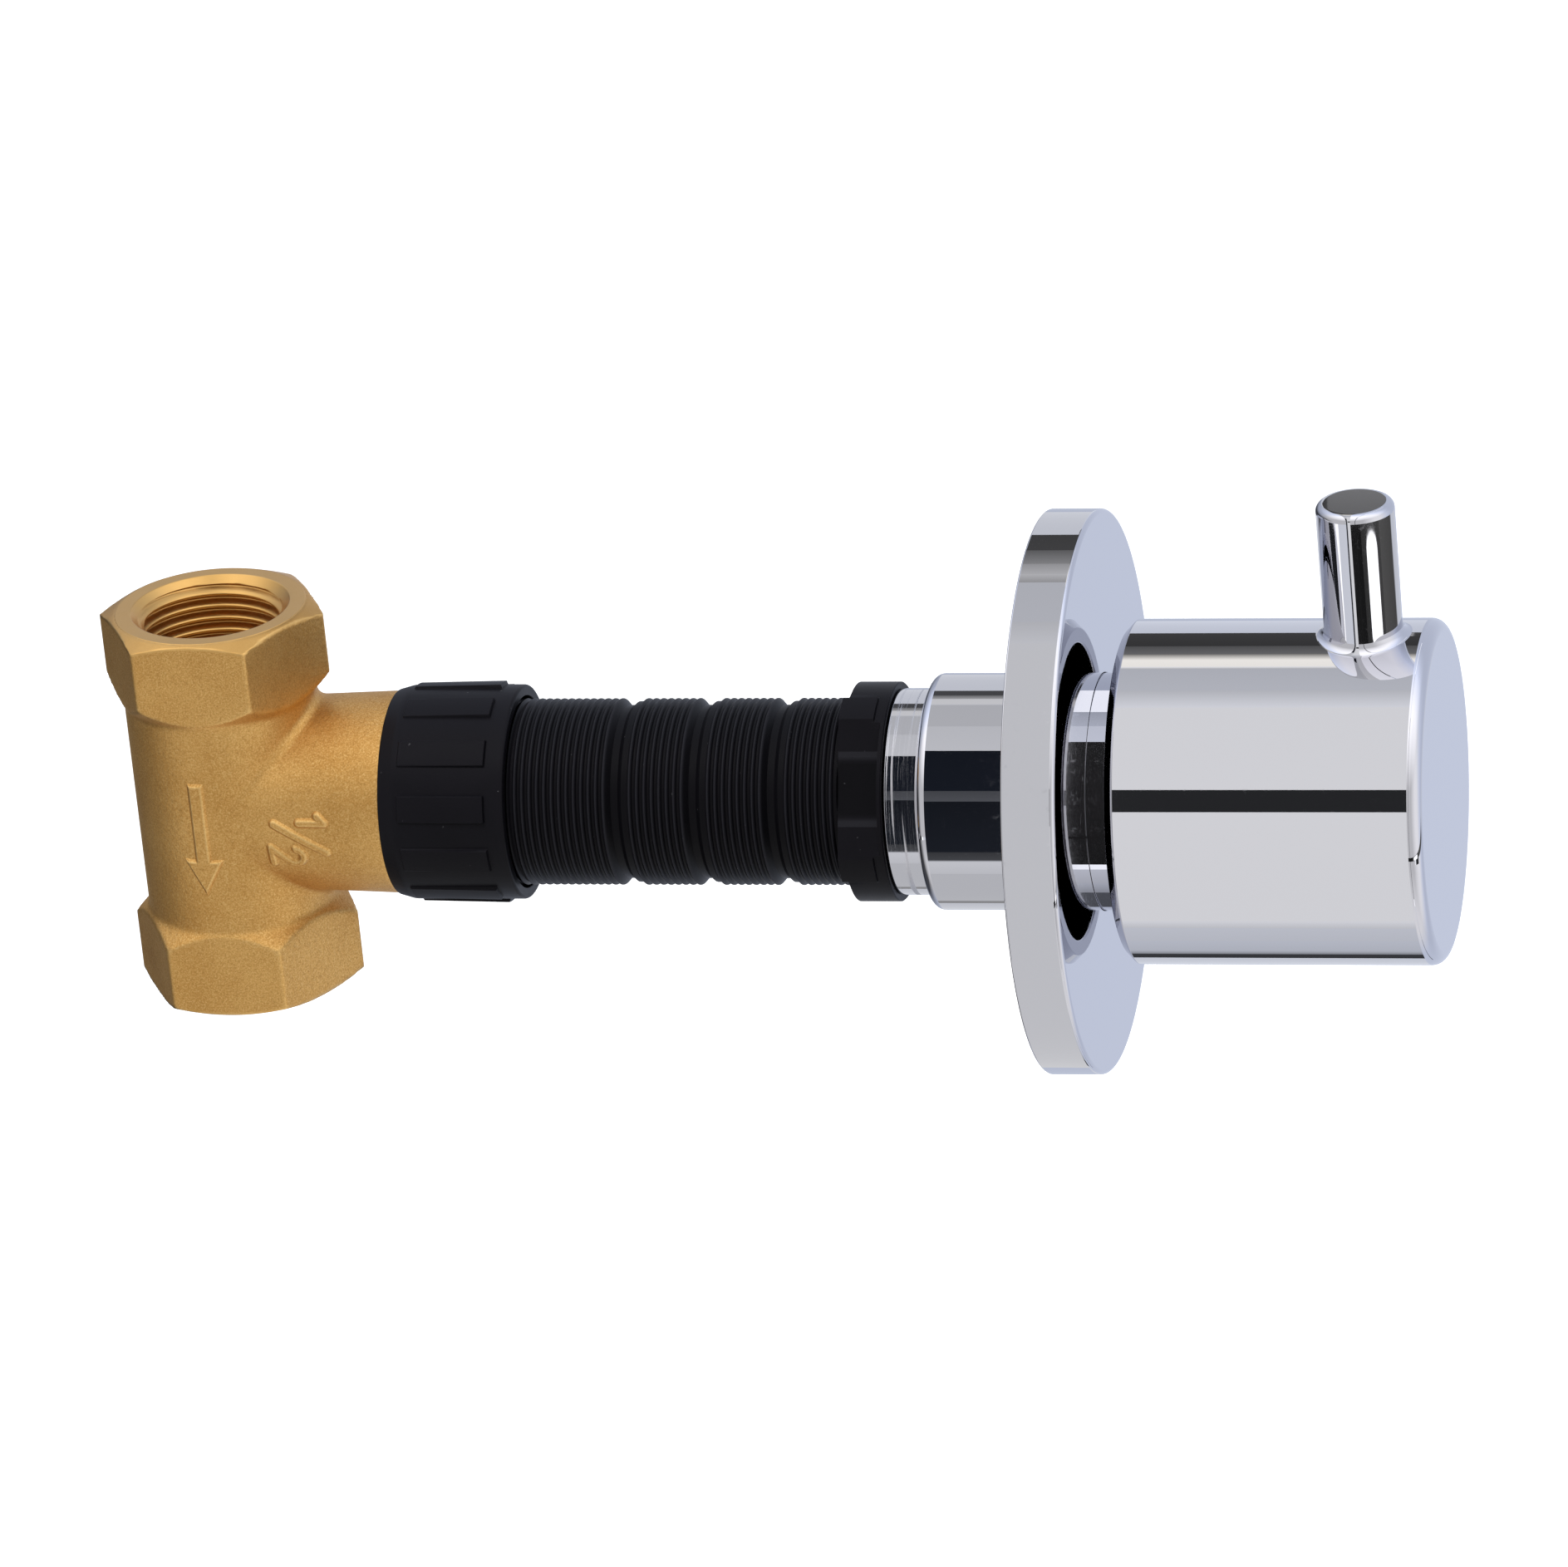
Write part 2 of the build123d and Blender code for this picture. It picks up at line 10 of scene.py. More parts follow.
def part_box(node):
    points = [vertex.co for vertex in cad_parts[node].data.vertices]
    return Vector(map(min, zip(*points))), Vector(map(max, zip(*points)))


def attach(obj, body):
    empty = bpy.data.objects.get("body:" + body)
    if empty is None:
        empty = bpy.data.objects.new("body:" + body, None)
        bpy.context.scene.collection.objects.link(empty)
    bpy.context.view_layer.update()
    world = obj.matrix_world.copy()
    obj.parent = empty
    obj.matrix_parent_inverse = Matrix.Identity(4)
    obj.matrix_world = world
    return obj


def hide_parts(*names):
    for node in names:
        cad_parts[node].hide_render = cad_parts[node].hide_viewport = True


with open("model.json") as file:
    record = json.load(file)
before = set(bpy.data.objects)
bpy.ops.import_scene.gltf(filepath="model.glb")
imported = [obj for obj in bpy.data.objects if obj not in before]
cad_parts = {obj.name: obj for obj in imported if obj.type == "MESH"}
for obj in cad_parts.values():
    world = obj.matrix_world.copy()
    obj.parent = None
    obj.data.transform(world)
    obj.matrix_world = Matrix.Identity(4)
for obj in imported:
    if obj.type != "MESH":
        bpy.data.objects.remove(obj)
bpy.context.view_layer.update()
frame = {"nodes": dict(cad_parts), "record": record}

# Shapes are worked out in millimetres and written to their meshes in metres.
# The pipe runs along Z, the spindle along X. A turn about the spindle is measured
# from the front horizon (-Y) upwards, a turn about the pipe from the front towards +X.
MM = 0.001

# The photograph's view: a long lens, a little round to the handle's side and above
photo_width = 1887
lens_pixels = 12000.0
camera_azimuth = 13.39
camera_elevation = 24.02
camera_roll = -5.546
camera_distance = 1.3715
target_place = 78.67
target_rise = 1.2
sensor_width = 36.0

# Finish levels shared by several pieces
chrome_colour = (0.60, 0.60, 0.635)
chrome_roughness = 0.02
brass_colour = (0.59, 0.325, 0.092)
brass_light = (0.71, 0.425, 0.138)
brass_shade = (0.30, 0.135, 0.025)
# A bright brass tone: light specks of grit, and the painted highlight on worn edges
brass_bright = (0.92, 0.68, 0.30)
plastic_colour = (0.0040, 0.0037, 0.0052)

# Mesh fineness
turning_steps = 320
corner_steps = 8
guard_run = 0.03
sharp_angle = 32.0
drill_steps = 48
thread_turn_steps = 168
thread_rows = 150
foot_rows = 15

# Chrome trim
edge_break = 0.2
slide_gap = 0.05
ring_groove_width = 2.1
narrow_bore_radius = 9.6
narrow_spigot_radius = 11.35
narrow_spigot_length = 11.4
sleeve_ring_offset = 4.5
sleeve_ring_section = 1.8
wide_sleeve_round = 1.3
flange_wall = 2.0
flange_edge_round = 0.6
flange_hub_radius = 20.0
flange_hub_setback = 0.9
flange_ring_section = 1.8
flange_ring_setback = 1.2

# Lever handle
handle_wall = 3.3
handle_front_wall = 5.5
handle_back_bevel = 1.2
handle_front_round = 1.8
boss_radius = 10.0
boss_setback = 4.7
boss_bore_radius = 6.6
boss_bore_length = 18.0
grub_screw_radius = 2.5
grub_screw_place = 12.0
drill_overrun = 2.0
drill_break_in = 1.0
pin_radius = 5.35
pin_setback = 9.7
pin_foot_round = 1.2
pin_tip_round = 1.1
pin_root = 0.4
pin_floor = 2.7
pin_steps = 192

# Collar nut
collar_back_radius = 14.25
collar_back_taper = 2.2
collar_radius = 14.85
collar_face_round = 0.4
collar_lip_radius = 13.3
collar_shank_radius = 13.75
collar_shank_end = 39.8
pad_count = 12
pad_height = 0.52
pad_width = 3.75
pad_length = 12.3
pad_offset = 2.9
pad_phase_deg = 15.0
pad_softness = 0.2

# Ribbed guard tube
tube_bore_radius = 11.4
tube_flange_radius = 13.7
tube_flange_width = 1.7
crest_radius = 12.9
rib_depth = 0.42
rib_pitch = 1.04
rib_reach = 0.4
groove_radius = 11.95
groove_width = 2.5
groove_floor = (0.9, 1.9)
segment_pitch = 10.97
segment_count = 4
first_groove = 55.9
ribs_start = 40.3
ribs_end_gap = 0.9
head_radius = 15.1
head_width = 5.8
head_rim_width = 0.7
head_flat = 12.05
head_block_radius = 15.4
head_block_flat = 12.6
head_block_lead = 0.8
head_block_setback = 1.6
head_turn_deg = 26.0
head_softness = 0.16

# Brass body
pipe_radius = 13.4
neck_root_radius = 13.15
neck_end_radius = 14.05
neck_length = 24.4
skin_voxel = 0.43
face_radius = 13.3
face_sink = 0.04
chamfer_start = 13.3
chamfer_slope = 0.45
chamfer_reach = 18.0
edge_step = 0.06
thread_major_radius = 10.46
thread_minor_radius = 9.32
thread_pitch = 1.814
thread_depth = 13.3
mouth_radius = 11.1
thread_start = 0.55
thread_lead = 0.5
lining_wall_radius = 11.0

# Raised marks on the casting
relief_height = 0.42
relief_slope = 0.85
relief_sink = 0.2
relief_root = 0.45
relief_cell = 0.09
relief_edge_step = 0.0065
arrow_turn = -1.3
arrow_top = 7.1
arrow_neck = -4.4
arrow_tip = -9.6
arrow_half_width = 1.1
arrow_head_half_width = 2.8
numeral_place = 12.3
numeral_turn = -1.1
stroke_half_width = 0.62

# Studio: cards seen in reflections alone, the floor, and the one lamp
card_distance = 0.6
card_steps = 18
floor_size = 3.0
floor_drop = 0.16
key_place = (-0.3, -0.7, 1.4)
key_size = 0.7
key_power = 22.0
room_level = 0.32
mirror_level = 0.78
floor_glow = 0.75

# Places read from the frame, and the eye
body_low, body_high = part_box("valve_body")
spindle_z = (body_low.z + body_high.z) / 2
spindle = spindle_z / MM
camera_target = Vector((target_place * MM, 0.0, spindle_z + target_rise * MM))
azimuth, elevation, roll = map(radians, (camera_azimuth, camera_elevation, camera_roll))
view_back = Vector((sin(azimuth) * cos(elevation), -cos(azimuth) * cos(elevation), sin(elevation)))
eye = camera_target + view_back * camera_distance


def span(node):
    """A node's two ends along the spindle and its radius about it, in millimetres."""
    low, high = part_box(node)
    return low.x / MM, high.x / MM, (high.y - low.y) / 2 / MM


def unit(vector):
    """A vector of length one."""
    return vector / np.linalg.norm(vector)


def eased_outline(corners, closed=True):
    """A turned outline: straight runs joined by arcs.

    Each corner is (place, radius, easing). Its arc touches both runs at easing / tan(half the corner's
    angle) from the corner, about a middle at easing / sin(half the angle) along the bisector. A guard
    point stands just beyond each end of the arc, so that the flat runs keep their flat normals.
    """
    points = np.array(corners, float)
    count = len(points)
    rows = []
    for index, (place, radius, easing) in enumerate(points):
        corner = np.array([place, radius])
        if easing == 0 or (not closed and index in (0, count - 1)):
            rows.append(corner[None])
            continue
        before = unit(points[index - 1, :2] - corner)
        after = unit(points[(index + 1) % count, :2] - corner)
        half = np.arccos(np.clip(before @ after, -1, 1)) / 2
        reach = easing / np.tan(half)
        middle = corner + unit(before + after) * easing / np.sin(half)
        first = corner + before * reach
        last = corner + after * reach
        sweep = pi - 2 * half
        part = np.linspace(0, 1, corner_steps + 1)[:, None]
        arc = middle + (
            (first - middle) * np.sin((1 - part) * sweep) + (last - middle) * np.sin(part * sweep)
        ) / np.sin(sweep)
        rows += [(first + before * guard_run)[None], arc, (last + after * guard_run)[None]]
    return np.vstack(rows)


def around_spindle(place, radius, turn):
    """Points about the spindle: X is the place, Y is -radius cos turn, Z is radius sin turn above it."""
    place, radius, turn = np.broadcast_arrays(place, radius, turn)
    return np.stack([place, -radius * np.cos(turn), spindle + radius * np.sin(turn)], axis=-1)


def full_turn(steps):
    """Equal steps round a circle."""
    return np.linspace(0, 2 * pi, steps, endpoint=False)


def smooth_step(value):
    """0 below 0, 1 above 1, and 3 v^2 - 2 v^3 between."""
    value = np.clip(value, 0, 1)
    return value * value * (3 - 2 * value)


def put_object(name, mesh):
    """An object at the origin for a finished mesh."""
    item = bpy.data.objects.new(name, mesh)
    bpy.context.scene.collection.objects.link(item)
    return item


def shade(mesh, sharp_deg=sharp_angle):
    """Shades a mesh smooth up to its sharp edges."""
    mesh.shade_smooth()
    mesh.set_sharp_from_angle(angle=radians(sharp_deg))


def settle(mesh, sharp_deg):
    """Merges coinciding vertices, turns the faces outwards and shades smooth up to the sharp edges."""
    work = bmesh.new()
    work.from_mesh(mesh)
    bmesh.ops.remove_doubles(work, verts=work.verts, dist=1e-7)
    bmesh.ops.recalc_face_normals(work, faces=work.faces)
    work.to_mesh(mesh)
    work.free()
    shade(mesh, sharp_deg)


def grid_mesh(name, grid, close_rows, close_columns, sharp_deg):
    """A mesh from a grid of points in millimetres. Each cell of four neighbours is a face."""
    rows, columns = grid.shape[:2]
    number = np.arange(rows * columns).reshape(rows, columns)
    if close_columns:
        number = np.hstack([number, number[:, :1]])
    if close_rows:
        number = np.vstack([number, number[:1]])
    cells = np.stack([number[:-1, :-1], number[:-1, 1:], number[1:, 1:], number[1:, :-1]], axis=-1)
    mesh = bpy.data.meshes.new(name)
    mesh.from_pydata((grid.reshape(-1, 3) * MM).tolist(), [], cells.reshape(-1, 4).tolist())
    settle(mesh, sharp_deg)
    return mesh


def surface_piece(name, grid, close_rows=True, sharp_deg=sharp_angle):
    """A closed surface whose columns join end to end. Rows that shrink to one point become poles."""
    return put_object(name, grid_mesh(name, grid, close_rows, True, sharp_deg))


def turned_piece(name, corners, closed=True):
    """An eased outline carried round the spindle."""
    outline = eased_outline(corners, closed)
    grid = around_spindle(outline[:, 0, None], outline[:, 1, None], full_turn(turning_steps))
    return surface_piece(name, grid, close_rows=closed)


def vertex_places(mesh):
    """A mesh's vertices as rows of an array, in metres."""
    points = np.empty(len(mesh.vertices) * 3)
    mesh.vertices.foreach_get("co", points)
    return points.reshape(-1, 3)


def applied(item, sharp_deg=sharp_angle):
    """Replaces a piece's mesh by what its modifiers make of it."""
    bpy.context.view_layer.update()
    made = bpy.data.meshes.new_from_object(item.evaluated_get(bpy.context.evaluated_depsgraph_get()))
    item.modifiers.clear()
    item.data = made
    shade(made, sharp_deg)
    return item


def joined(first, second):
    """Adds the second piece's mesh to the first and removes the second."""
    work = bmesh.new()
    work.from_mesh(first.data)
    work.from_mesh(second.data)
    work.to_mesh(first.data)
    work.free()
    bpy.data.objects.remove(second)
    shade(first.data)
    return first


def flange_piece():
    """The wall flange: a shallow cup with a hub, a bore and the hub's ring groove."""
    back, face, radius = span("flange")
    bore = span("wide_sleeve")[2] + slide_gap
    inside = face - flange_wall
    cup = radius - flange_wall
    groove_face = inside - flange_ring_setback
    groove_back = groove_face - ring_groove_width
    groove_floor_radius = bore + flange_ring_section
    hub_back = back + flange_hub_setback
    return turned_piece(
        "wall_flange",
        [
            (face, bore, edge_break),
            (face, radius, flange_edge_round),
            (back, radius, edge_break),
            (back, cup, edge_break),
            (inside, cup, 0.8),
            (inside, flange_hub_radius, 0.8),
            (hub_back, flange_hub_radius, edge_break),
            (hub_back, bore, edge_break),
            (groove_back, bore, 0),
            (groove_back, groove_floor_radius, 0),
            (groove_face, groove_floor_radius, 0),
            (groove_face, bore, 0),
        ],
    )


def wide_sleeve_piece():
    """The outer sleeve, rounded at its back edge."""
    back, front, radius = span("wide_sleeve")
    bore = span("narrow_sleeve")[2] + slide_gap
    return turned_piece(
        "outer_sleeve",
        [
            (back, radius, wide_sleeve_round),
            (front, radius, 0.3),
            (front, bore, edge_break),
            (back, bore, edge_break),
        ],
    )


def narrow_sleeve_piece():
    """The inner sleeve: spigot, shoulder, plain length with its ring groove, and bore."""
    back, front, radius = span("narrow_sleeve")
    shoulder = back + narrow_spigot_length
    groove = span("wide_sleeve")[0] + sleeve_ring_offset
    groove_floor_radius = radius + slide_gap - sleeve_ring_section
    half = ring_groove_width / 2
    return turned_piece(
        "inner_sleeve",
        [
            (back, narrow_spigot_radius, edge_break),
            (shoulder, narrow_spigot_radius, 0),
            (shoulder, radius, 0.3),
            (groove - half, radius, 0),
            (groove - half, groove_floor_radius, 0),
            (groove + half, groove_floor_radius, 0),
            (groove + half, radius, 0),
            (front, radius, 0.3),
            (front, narrow_bore_radius, edge_break),
            (back, narrow_bore_radius, edge_break),
        ],
    )


def handle_cylinder():
    """The handle's turned part: front, round, wall, back bevel, hollow, boss and its bore."""
    back, front, radius = span("lever_handle")
    hollow = radius - handle_wall
    floor = front - handle_front_wall
    boss = back + boss_setback
    bore_end = boss + boss_bore_length
    return turned_piece(
        "lever_handle_cast",
        [
            (front, 0, 0),
            (front, radius, handle_front_round),
            (back + handle_back_bevel, radius, 0.35),
            (back, radius - handle_back_bevel, 0.35),
            (back, hollow, 0.3),
            (floor, hollow, 0.8),
            (floor, boss_radius, 0.5),
            (boss, boss_radius, 0.3),
            (boss, boss_bore_radius, edge_break),
            (bore_end, boss_bore_radius, 0),
            (bore_end, 0, 0),
        ],
        closed=False,
    )


def drilled_under(item):
    """Drills the grub screw's hole up through the underside of the handle's wall and boss."""
    back, front, radius = span("lever_handle")
    place = back + boss_setback + grub_screw_place
    turn = full_turn(drill_steps)
    low, high = -radius - drill_overrun, -boss_bore_radius + drill_break_in
    heights = np.array([low, low, high, high])
    radii = np.array([0, grub_screw_radius, grub_screw_radius, 0])
    grid = np.stack(
        [
            place + radii[:, None] * np.cos(turn),
            radii[:, None] * np.sin(turn),
            spindle + heights[:, None] + 0 * turn,
        ],
        axis=-1,
    )
    drill = surface_piece("drill", grid, close_rows=False)
    cut = item.modifiers.new("hole", "BOOLEAN")
    cut.operation = "DIFFERENCE"
    cut.solver = "EXACT"
    cut.object = drill
    applied(item)
    bpy.data.objects.remove(drill)
    return item


def pin_piece():
    """The pin lever, grown out of the handle's top.

    About the pin's axis, the foot at distance d stands on the handle's own surface, sqrt(R(x)^2 - y^2),
    raised by f - sqrt(f^2 - (r + f - d)^2), a quarter circle of radius f that runs from flat on the
    handle to upright on the pin of radius r. R(x) falls off with the handle's front round.
    """
    back, front, radius = span("lever_handle")
    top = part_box("lever_handle")[1].z / MM - spindle
    turn = full_turn(pin_steps)
    centre = front - pin_setback

    def on_handle(distance):
        place = centre + distance * np.cos(turn)
        past = np.clip(place - (front - handle_front_round), 0, handle_front_round)
        crest = radius - handle_front_round + np.sqrt(handle_front_round**2 - past**2)
        return np.sqrt(crest**2 - (distance * np.sin(turn)) ** 2)

    sweep = np.linspace(0, pi / 2, foot_rows)[:, None]
    foot = pin_radius + pin_foot_round * (1 - np.sin(sweep))
    foot_height = on_handle(foot) + pin_foot_round * (1 - np.cos(sweep))
    rim = np.full((1, 1), pin_radius + pin_foot_round)
    tip = pin_radius - pin_tip_round * (1 - np.cos(sweep))
    tip_height = top - pin_tip_round * (1 - np.sin(sweep)) + 0 * turn
    upright = np.full((2, 1), pin_radius)
    upright_height = np.vstack([foot_height[-1:] + guard_run, tip_height[:1] - guard_run])
    crown = np.array([[pin_radius - pin_tip_round - guard_run], [0.0]])
    centre_floor = np.zeros((1, 1))
    distance = np.vstack([centre_floor, rim, foot, upright, tip, crown])
    flat = np.full((2, pin_steps), top)
    sunk = on_handle(rim) - pin_root
    floor = np.full((1, pin_steps), radius - pin_floor)
    height = np.vstack([floor, sunk, foot_height, upright_height, tip_height, flat])
    place = centre + distance * np.cos(turn)
    grid = np.stack([place, -distance * np.sin(turn), spindle + height], axis=-1)
    return surface_piece("pin", grid, close_rows=False, sharp_deg=40.0)


def collar_columns():
    """Turns round the collar: even steps, with more of them at the two edges of each pad."""
    sector = 360 / pad_count
    half = np.degrees(pad_width / 2 / collar_radius)
    edge = half + np.array([-1.3, -0.85, -0.5, -0.2, 0.1, 0.4, 0.7, 1.1])
    even = np.linspace(-sector / 2, sector / 2, 15)[:-1]
    even = even[np.abs(np.abs(even) - half) > 1.5]
    one = np.sort(np.concatenate([-edge, even, edge]))
    middle = pad_phase_deg + sector * np.arange(pad_count)
    return np.radians((middle[:, None] + one).ravel())


def collar_piece():
    """The collar nut: a turned sleeve whose gripping pads rise from it.

    The radius is the outline's plus the pad height times three soft masks, which are one inside a pad's
    width and length and fall to zero over the softness. The pads sink a little towards the body.
    """
    start, end, _ = span("collar_nut")
    turn = collar_columns()
    middle = np.radians(pad_phase_deg)
    sector = 2 * pi / pad_count
    aside = (turn - middle + sector / 2) % sector - sector / 2
    pad_start = start + pad_offset
    pad_end = pad_start + pad_length
    ends = np.concatenate([np.linspace(-1.6, 1.6, 9) * pad_softness + at for at in (pad_start, pad_end)])
    plain = np.linspace(pad_start + 1, pad_end - 1, 9)
    wall = np.sort(np.concatenate([ends, plain, [pad_end + 1.2]]))
    outline = eased_outline(
        [
            (start, collar_back_radius, 0.35),
            (start + collar_back_taper, collar_radius, 2.5),
            (end, collar_radius, collar_face_round),
            (end, collar_lip_radius, 0.15),
            (collar_shank_end, collar_lip_radius, 0),
            (collar_shank_end, collar_shank_radius, 0),
            (start, collar_shank_radius, 0.1),
        ]
    )
    split = int(np.argmax(outline[:, 0] > pad_start + 1.6))
    middle_rows = np.column_stack([wall, np.full(len(wall), collar_radius)])
    before = outline[:split]
    before = before[before[:, 0] < wall[0]]
    outline = np.vstack([before, middle_rows, outline[split:]])
    place, radius = outline[:, 0, None], outline[:, 1, None]
    width = smooth_step((pad_width / 2 - np.abs(aside) * collar_radius) / pad_softness + 0.5)
    length = smooth_step((place - pad_start) / pad_softness + 0.5) * smooth_step(
        (pad_end - place) / pad_softness + 0.5
    )
    rise = 0.55 + 0.45 * np.clip((place - pad_start) / pad_length, 0, 1)
    on_wall = radius > collar_radius - 0.01
    radius = radius + pad_height * rise * width * length * on_wall
    return surface_piece("collar_nut_moulded", around_spindle(place, radius, turn))


def rib_crests():
    """The places of the ribs' crests, segment by segment, counted back from each segment's end."""
    tube_end = span("guard_tube")[1]
    block_start = tube_end - head_width - head_block_lead
    crests = []
    start = ribs_start
    for segment in range(segment_count):
        groove = first_groove + segment * segment_pitch
        end = block_start - ribs_end_gap if segment == segment_count - 1 else groove
        count = int((end - start) / rib_pitch)
        crests.append(end - rib_pitch * np.arange(count, -1, -1))
        start = groove + groove_width + rib_pitch / 2
    return crests


def tube_rows():
    """Places and plain radii along the tube's outside, from its flange to its head.

    A rib's height falls with the distance d from its crest as 0.5 + 0.5 cos(pi d / reach). In a groove
    the radius runs straight down to the floor and up again.
    """
    start, end, _ = span("guard_tube")
    root = crest_radius - rib_depth
    phase = np.array([-0.36, -0.22, -0.11, -0.04, 0.04, 0.11, 0.22, 0.36])
    segments = rib_crests()
    places = [(crests[:, None] + phase * rib_pitch).ravel() for crests in segments]
    for crests in segments[:-1]:
        groove = crests[-1]
        floor_start, floor_end = groove + groove_floor[0], groove + groove_floor[1]
        places.append(np.array([floor_start, floor_start + 0.1, floor_end - 0.1, floor_end]))
        places.append(np.array([groove + groove_width]))
    place = np.unique(np.concatenate(places).round(4))
    crest = np.concatenate(segments)
    away = np.abs(place[:, None] - crest).min(axis=1) / rib_pitch
    height = np.where(away < rib_reach, 0.5 + 0.5 * np.cos(pi * away / rib_reach), 0.0)
    radius = root + rib_depth * height
    for crests in segments[:-1]:
        groove = crests[-1]
        knots = groove + np.array([0.1, groove_floor[0], groove_floor[1], groove_width])
        cut = np.interp(place, knots, [crest_radius - 0.05, groove_radius, groove_radius, root])
        inside = (place > knots[0]) & (place < knots[-1])
        radius = np.where(inside, cut, radius)
    flange_end = start + tube_flange_width
    lead_place = [start, start, flange_end, flange_end]
    lead_radius = [tube_bore_radius, tube_flange_radius, tube_flange_radius, root]
    return np.concatenate([lead_place, place]), np.concatenate([lead_radius, radius])


def flat_sided(turn, radius, flats):
    """The outline of a round bar with flats: the smaller of the radius and each flat's distance / cos."""
    outline = np.full_like(turn, radius)
    for middle_deg, distance in flats:
        lean = np.cos(turn - radians(middle_deg))
        reach = np.where(lean > 0.2, distance / np.maximum(lean, 0.2), radius)
        outline = np.minimum(outline, reach)
    return outline


def guard_tube_piece():
    """The guard tube: ribbed and grooved, with a head whose sides are flats turned from upright."""
    start, end, _ = span("guard_tube")
    sides = [(head_turn_deg, head_flat), (head_turn_deg + 180, head_flat)]
    caps = [(head_turn_deg + 90, head_block_flat), (head_turn_deg - 90, head_block_flat)]
    corners = []
    for middle_deg, distance in sides + caps:
        for radius in (head_radius, head_block_radius):
            reach = np.degrees(np.arccos(distance / radius))
            for edge in (middle_deg - reach, middle_deg + reach):
                corners += [edge - 0.5, edge, edge + 0.5]
    turn = np.unique(np.radians(np.concatenate([np.arange(0, 360, 2.0), np.mod(corners, 360)])).round(5))
    flange_round = flat_sided(turn, head_radius, sides)
    block_round = flat_sided(turn, head_block_radius, sides + caps)
    rim_round = np.full_like(turn, head_radius)
    root = np.full_like(turn, crest_radius - rib_depth)
    head_start = end - head_width
    steps = [
        (head_start - head_block_lead, root, block_round),
        (head_start, block_round, np.maximum(block_round, flange_round)),
        (end - head_block_setback, np.maximum(block_round, flange_round), flange_round),
        (end - head_rim_width, flange_round, rim_round),
    ]
    place, radius = tube_rows()
    near = np.linspace(-0.5, 0.5, 6) * head_softness
    head_place = np.sort(np.concatenate([near + step[0] for step in steps]))
    head_place = np.concatenate([head_place, [end - 0.15]])
    head = root + 0 * head_place[:, None]
    for at, before, after in steps:
        head = head + (after - before) * smooth_step((head_place[:, None] - at) / head_softness + 0.5)
    grid = around_spindle(place[:, None], radius[:, None], turn)
    head_grid = around_spindle(head_place[:, None], head, turn)
    closing = np.array([[end, head_radius - 0.15], [end, head_radius - 0.2], [end, tube_bore_radius]])
    close_grid = around_spindle(closing[:, :1], closing[:, 1:], turn)
    return surface_piece("guard_tube_moulded", np.vstack([grid, head_grid, close_grid]))


def cast_skin():
    """The body's casting: the solid body wrapped in an even skin and eased as sand leaves it.

    Near the pipe's axis no vertex stands further from the spindle's height than half the body's height,
    less the face's sink and the chamfer's slope times how far its radius passes the chamfer's start.
    """
    source = frame["nodes"]["valve_body"]
    mesh = source.data.copy()
    mesh.materials.clear()
    work = bmesh.new()
    work.from_mesh(mesh)
    bmesh.ops.remove_doubles(work, verts=work.verts, dist=1e-6)
    work.to_mesh(mesh)
    work.free()
    item = put_object("body_casting", mesh)
    skin = item.modifiers.new("skin", "REMESH")
    skin.mode = "VOXEL"
    skin.voxel_size = skin_voxel * MM
    ease = item.modifiers.new("ease", "SMOOTH")
    ease.factor = 0.5
    ease.iterations = 2
    applied(item, sharp_deg=180.0)
    points = vertex_places(item.data)
    reach = np.hypot(points[:, 0], points[:, 1]) / MM
    cone = np.where(reach < chamfer_reach, np.maximum(reach - chamfer_start, 0) * chamfer_slope, 0)
    half = spindle_z - (face_sink + cone) * MM
    points[:, 2] = spindle_z + np.clip(points[:, 2] - spindle_z, -half, half)
    item.data.vertices.foreach_set("co", points.ravel())
    item.data.update()
    # cast_brass reads this edge measure to paint highlight on edges and shade in creases.
    mark_edges(item.data, points, edge_step)
    return item


def mark_edges(mesh, points, step):
    """Writes how far each vertex stands out from the mean of its neighbours, along its normal.

    The distance is divided by a step, kept between -1 and 1, and evened once over the neighbours.
    It is positive on edges, negative in creases and nothing on flats.
    """
    ends = np.empty(2 * len(mesh.edges), dtype=np.int64)
    mesh.edges.foreach_get("vertices", ends)
    one, other = ends[::2], ends[1::2]
    count = len(points)
    degree = np.maximum(np.bincount(ends, minlength=count), 1)

    def neighbours(values):
        total = np.bincount(one, values[other], count) + np.bincount(other, values[one], count)
        return total / degree

    normals = np.empty(count * 3)
    mesh.vertex_normals.foreach_get("vector", normals)
    around = np.column_stack([neighbours(points[:, axis]) for axis in range(3)])
    stand = ((points - around) * normals.reshape(-1, 3)).sum(axis=1) / (step * MM)
    stand = np.clip(stand, -1, 1)
    stand = (stand + neighbours(stand)) / 2
    layer = mesh.attributes.new("edge", "FLOAT", "POINT")
    layer.data.foreach_set("value", stand)


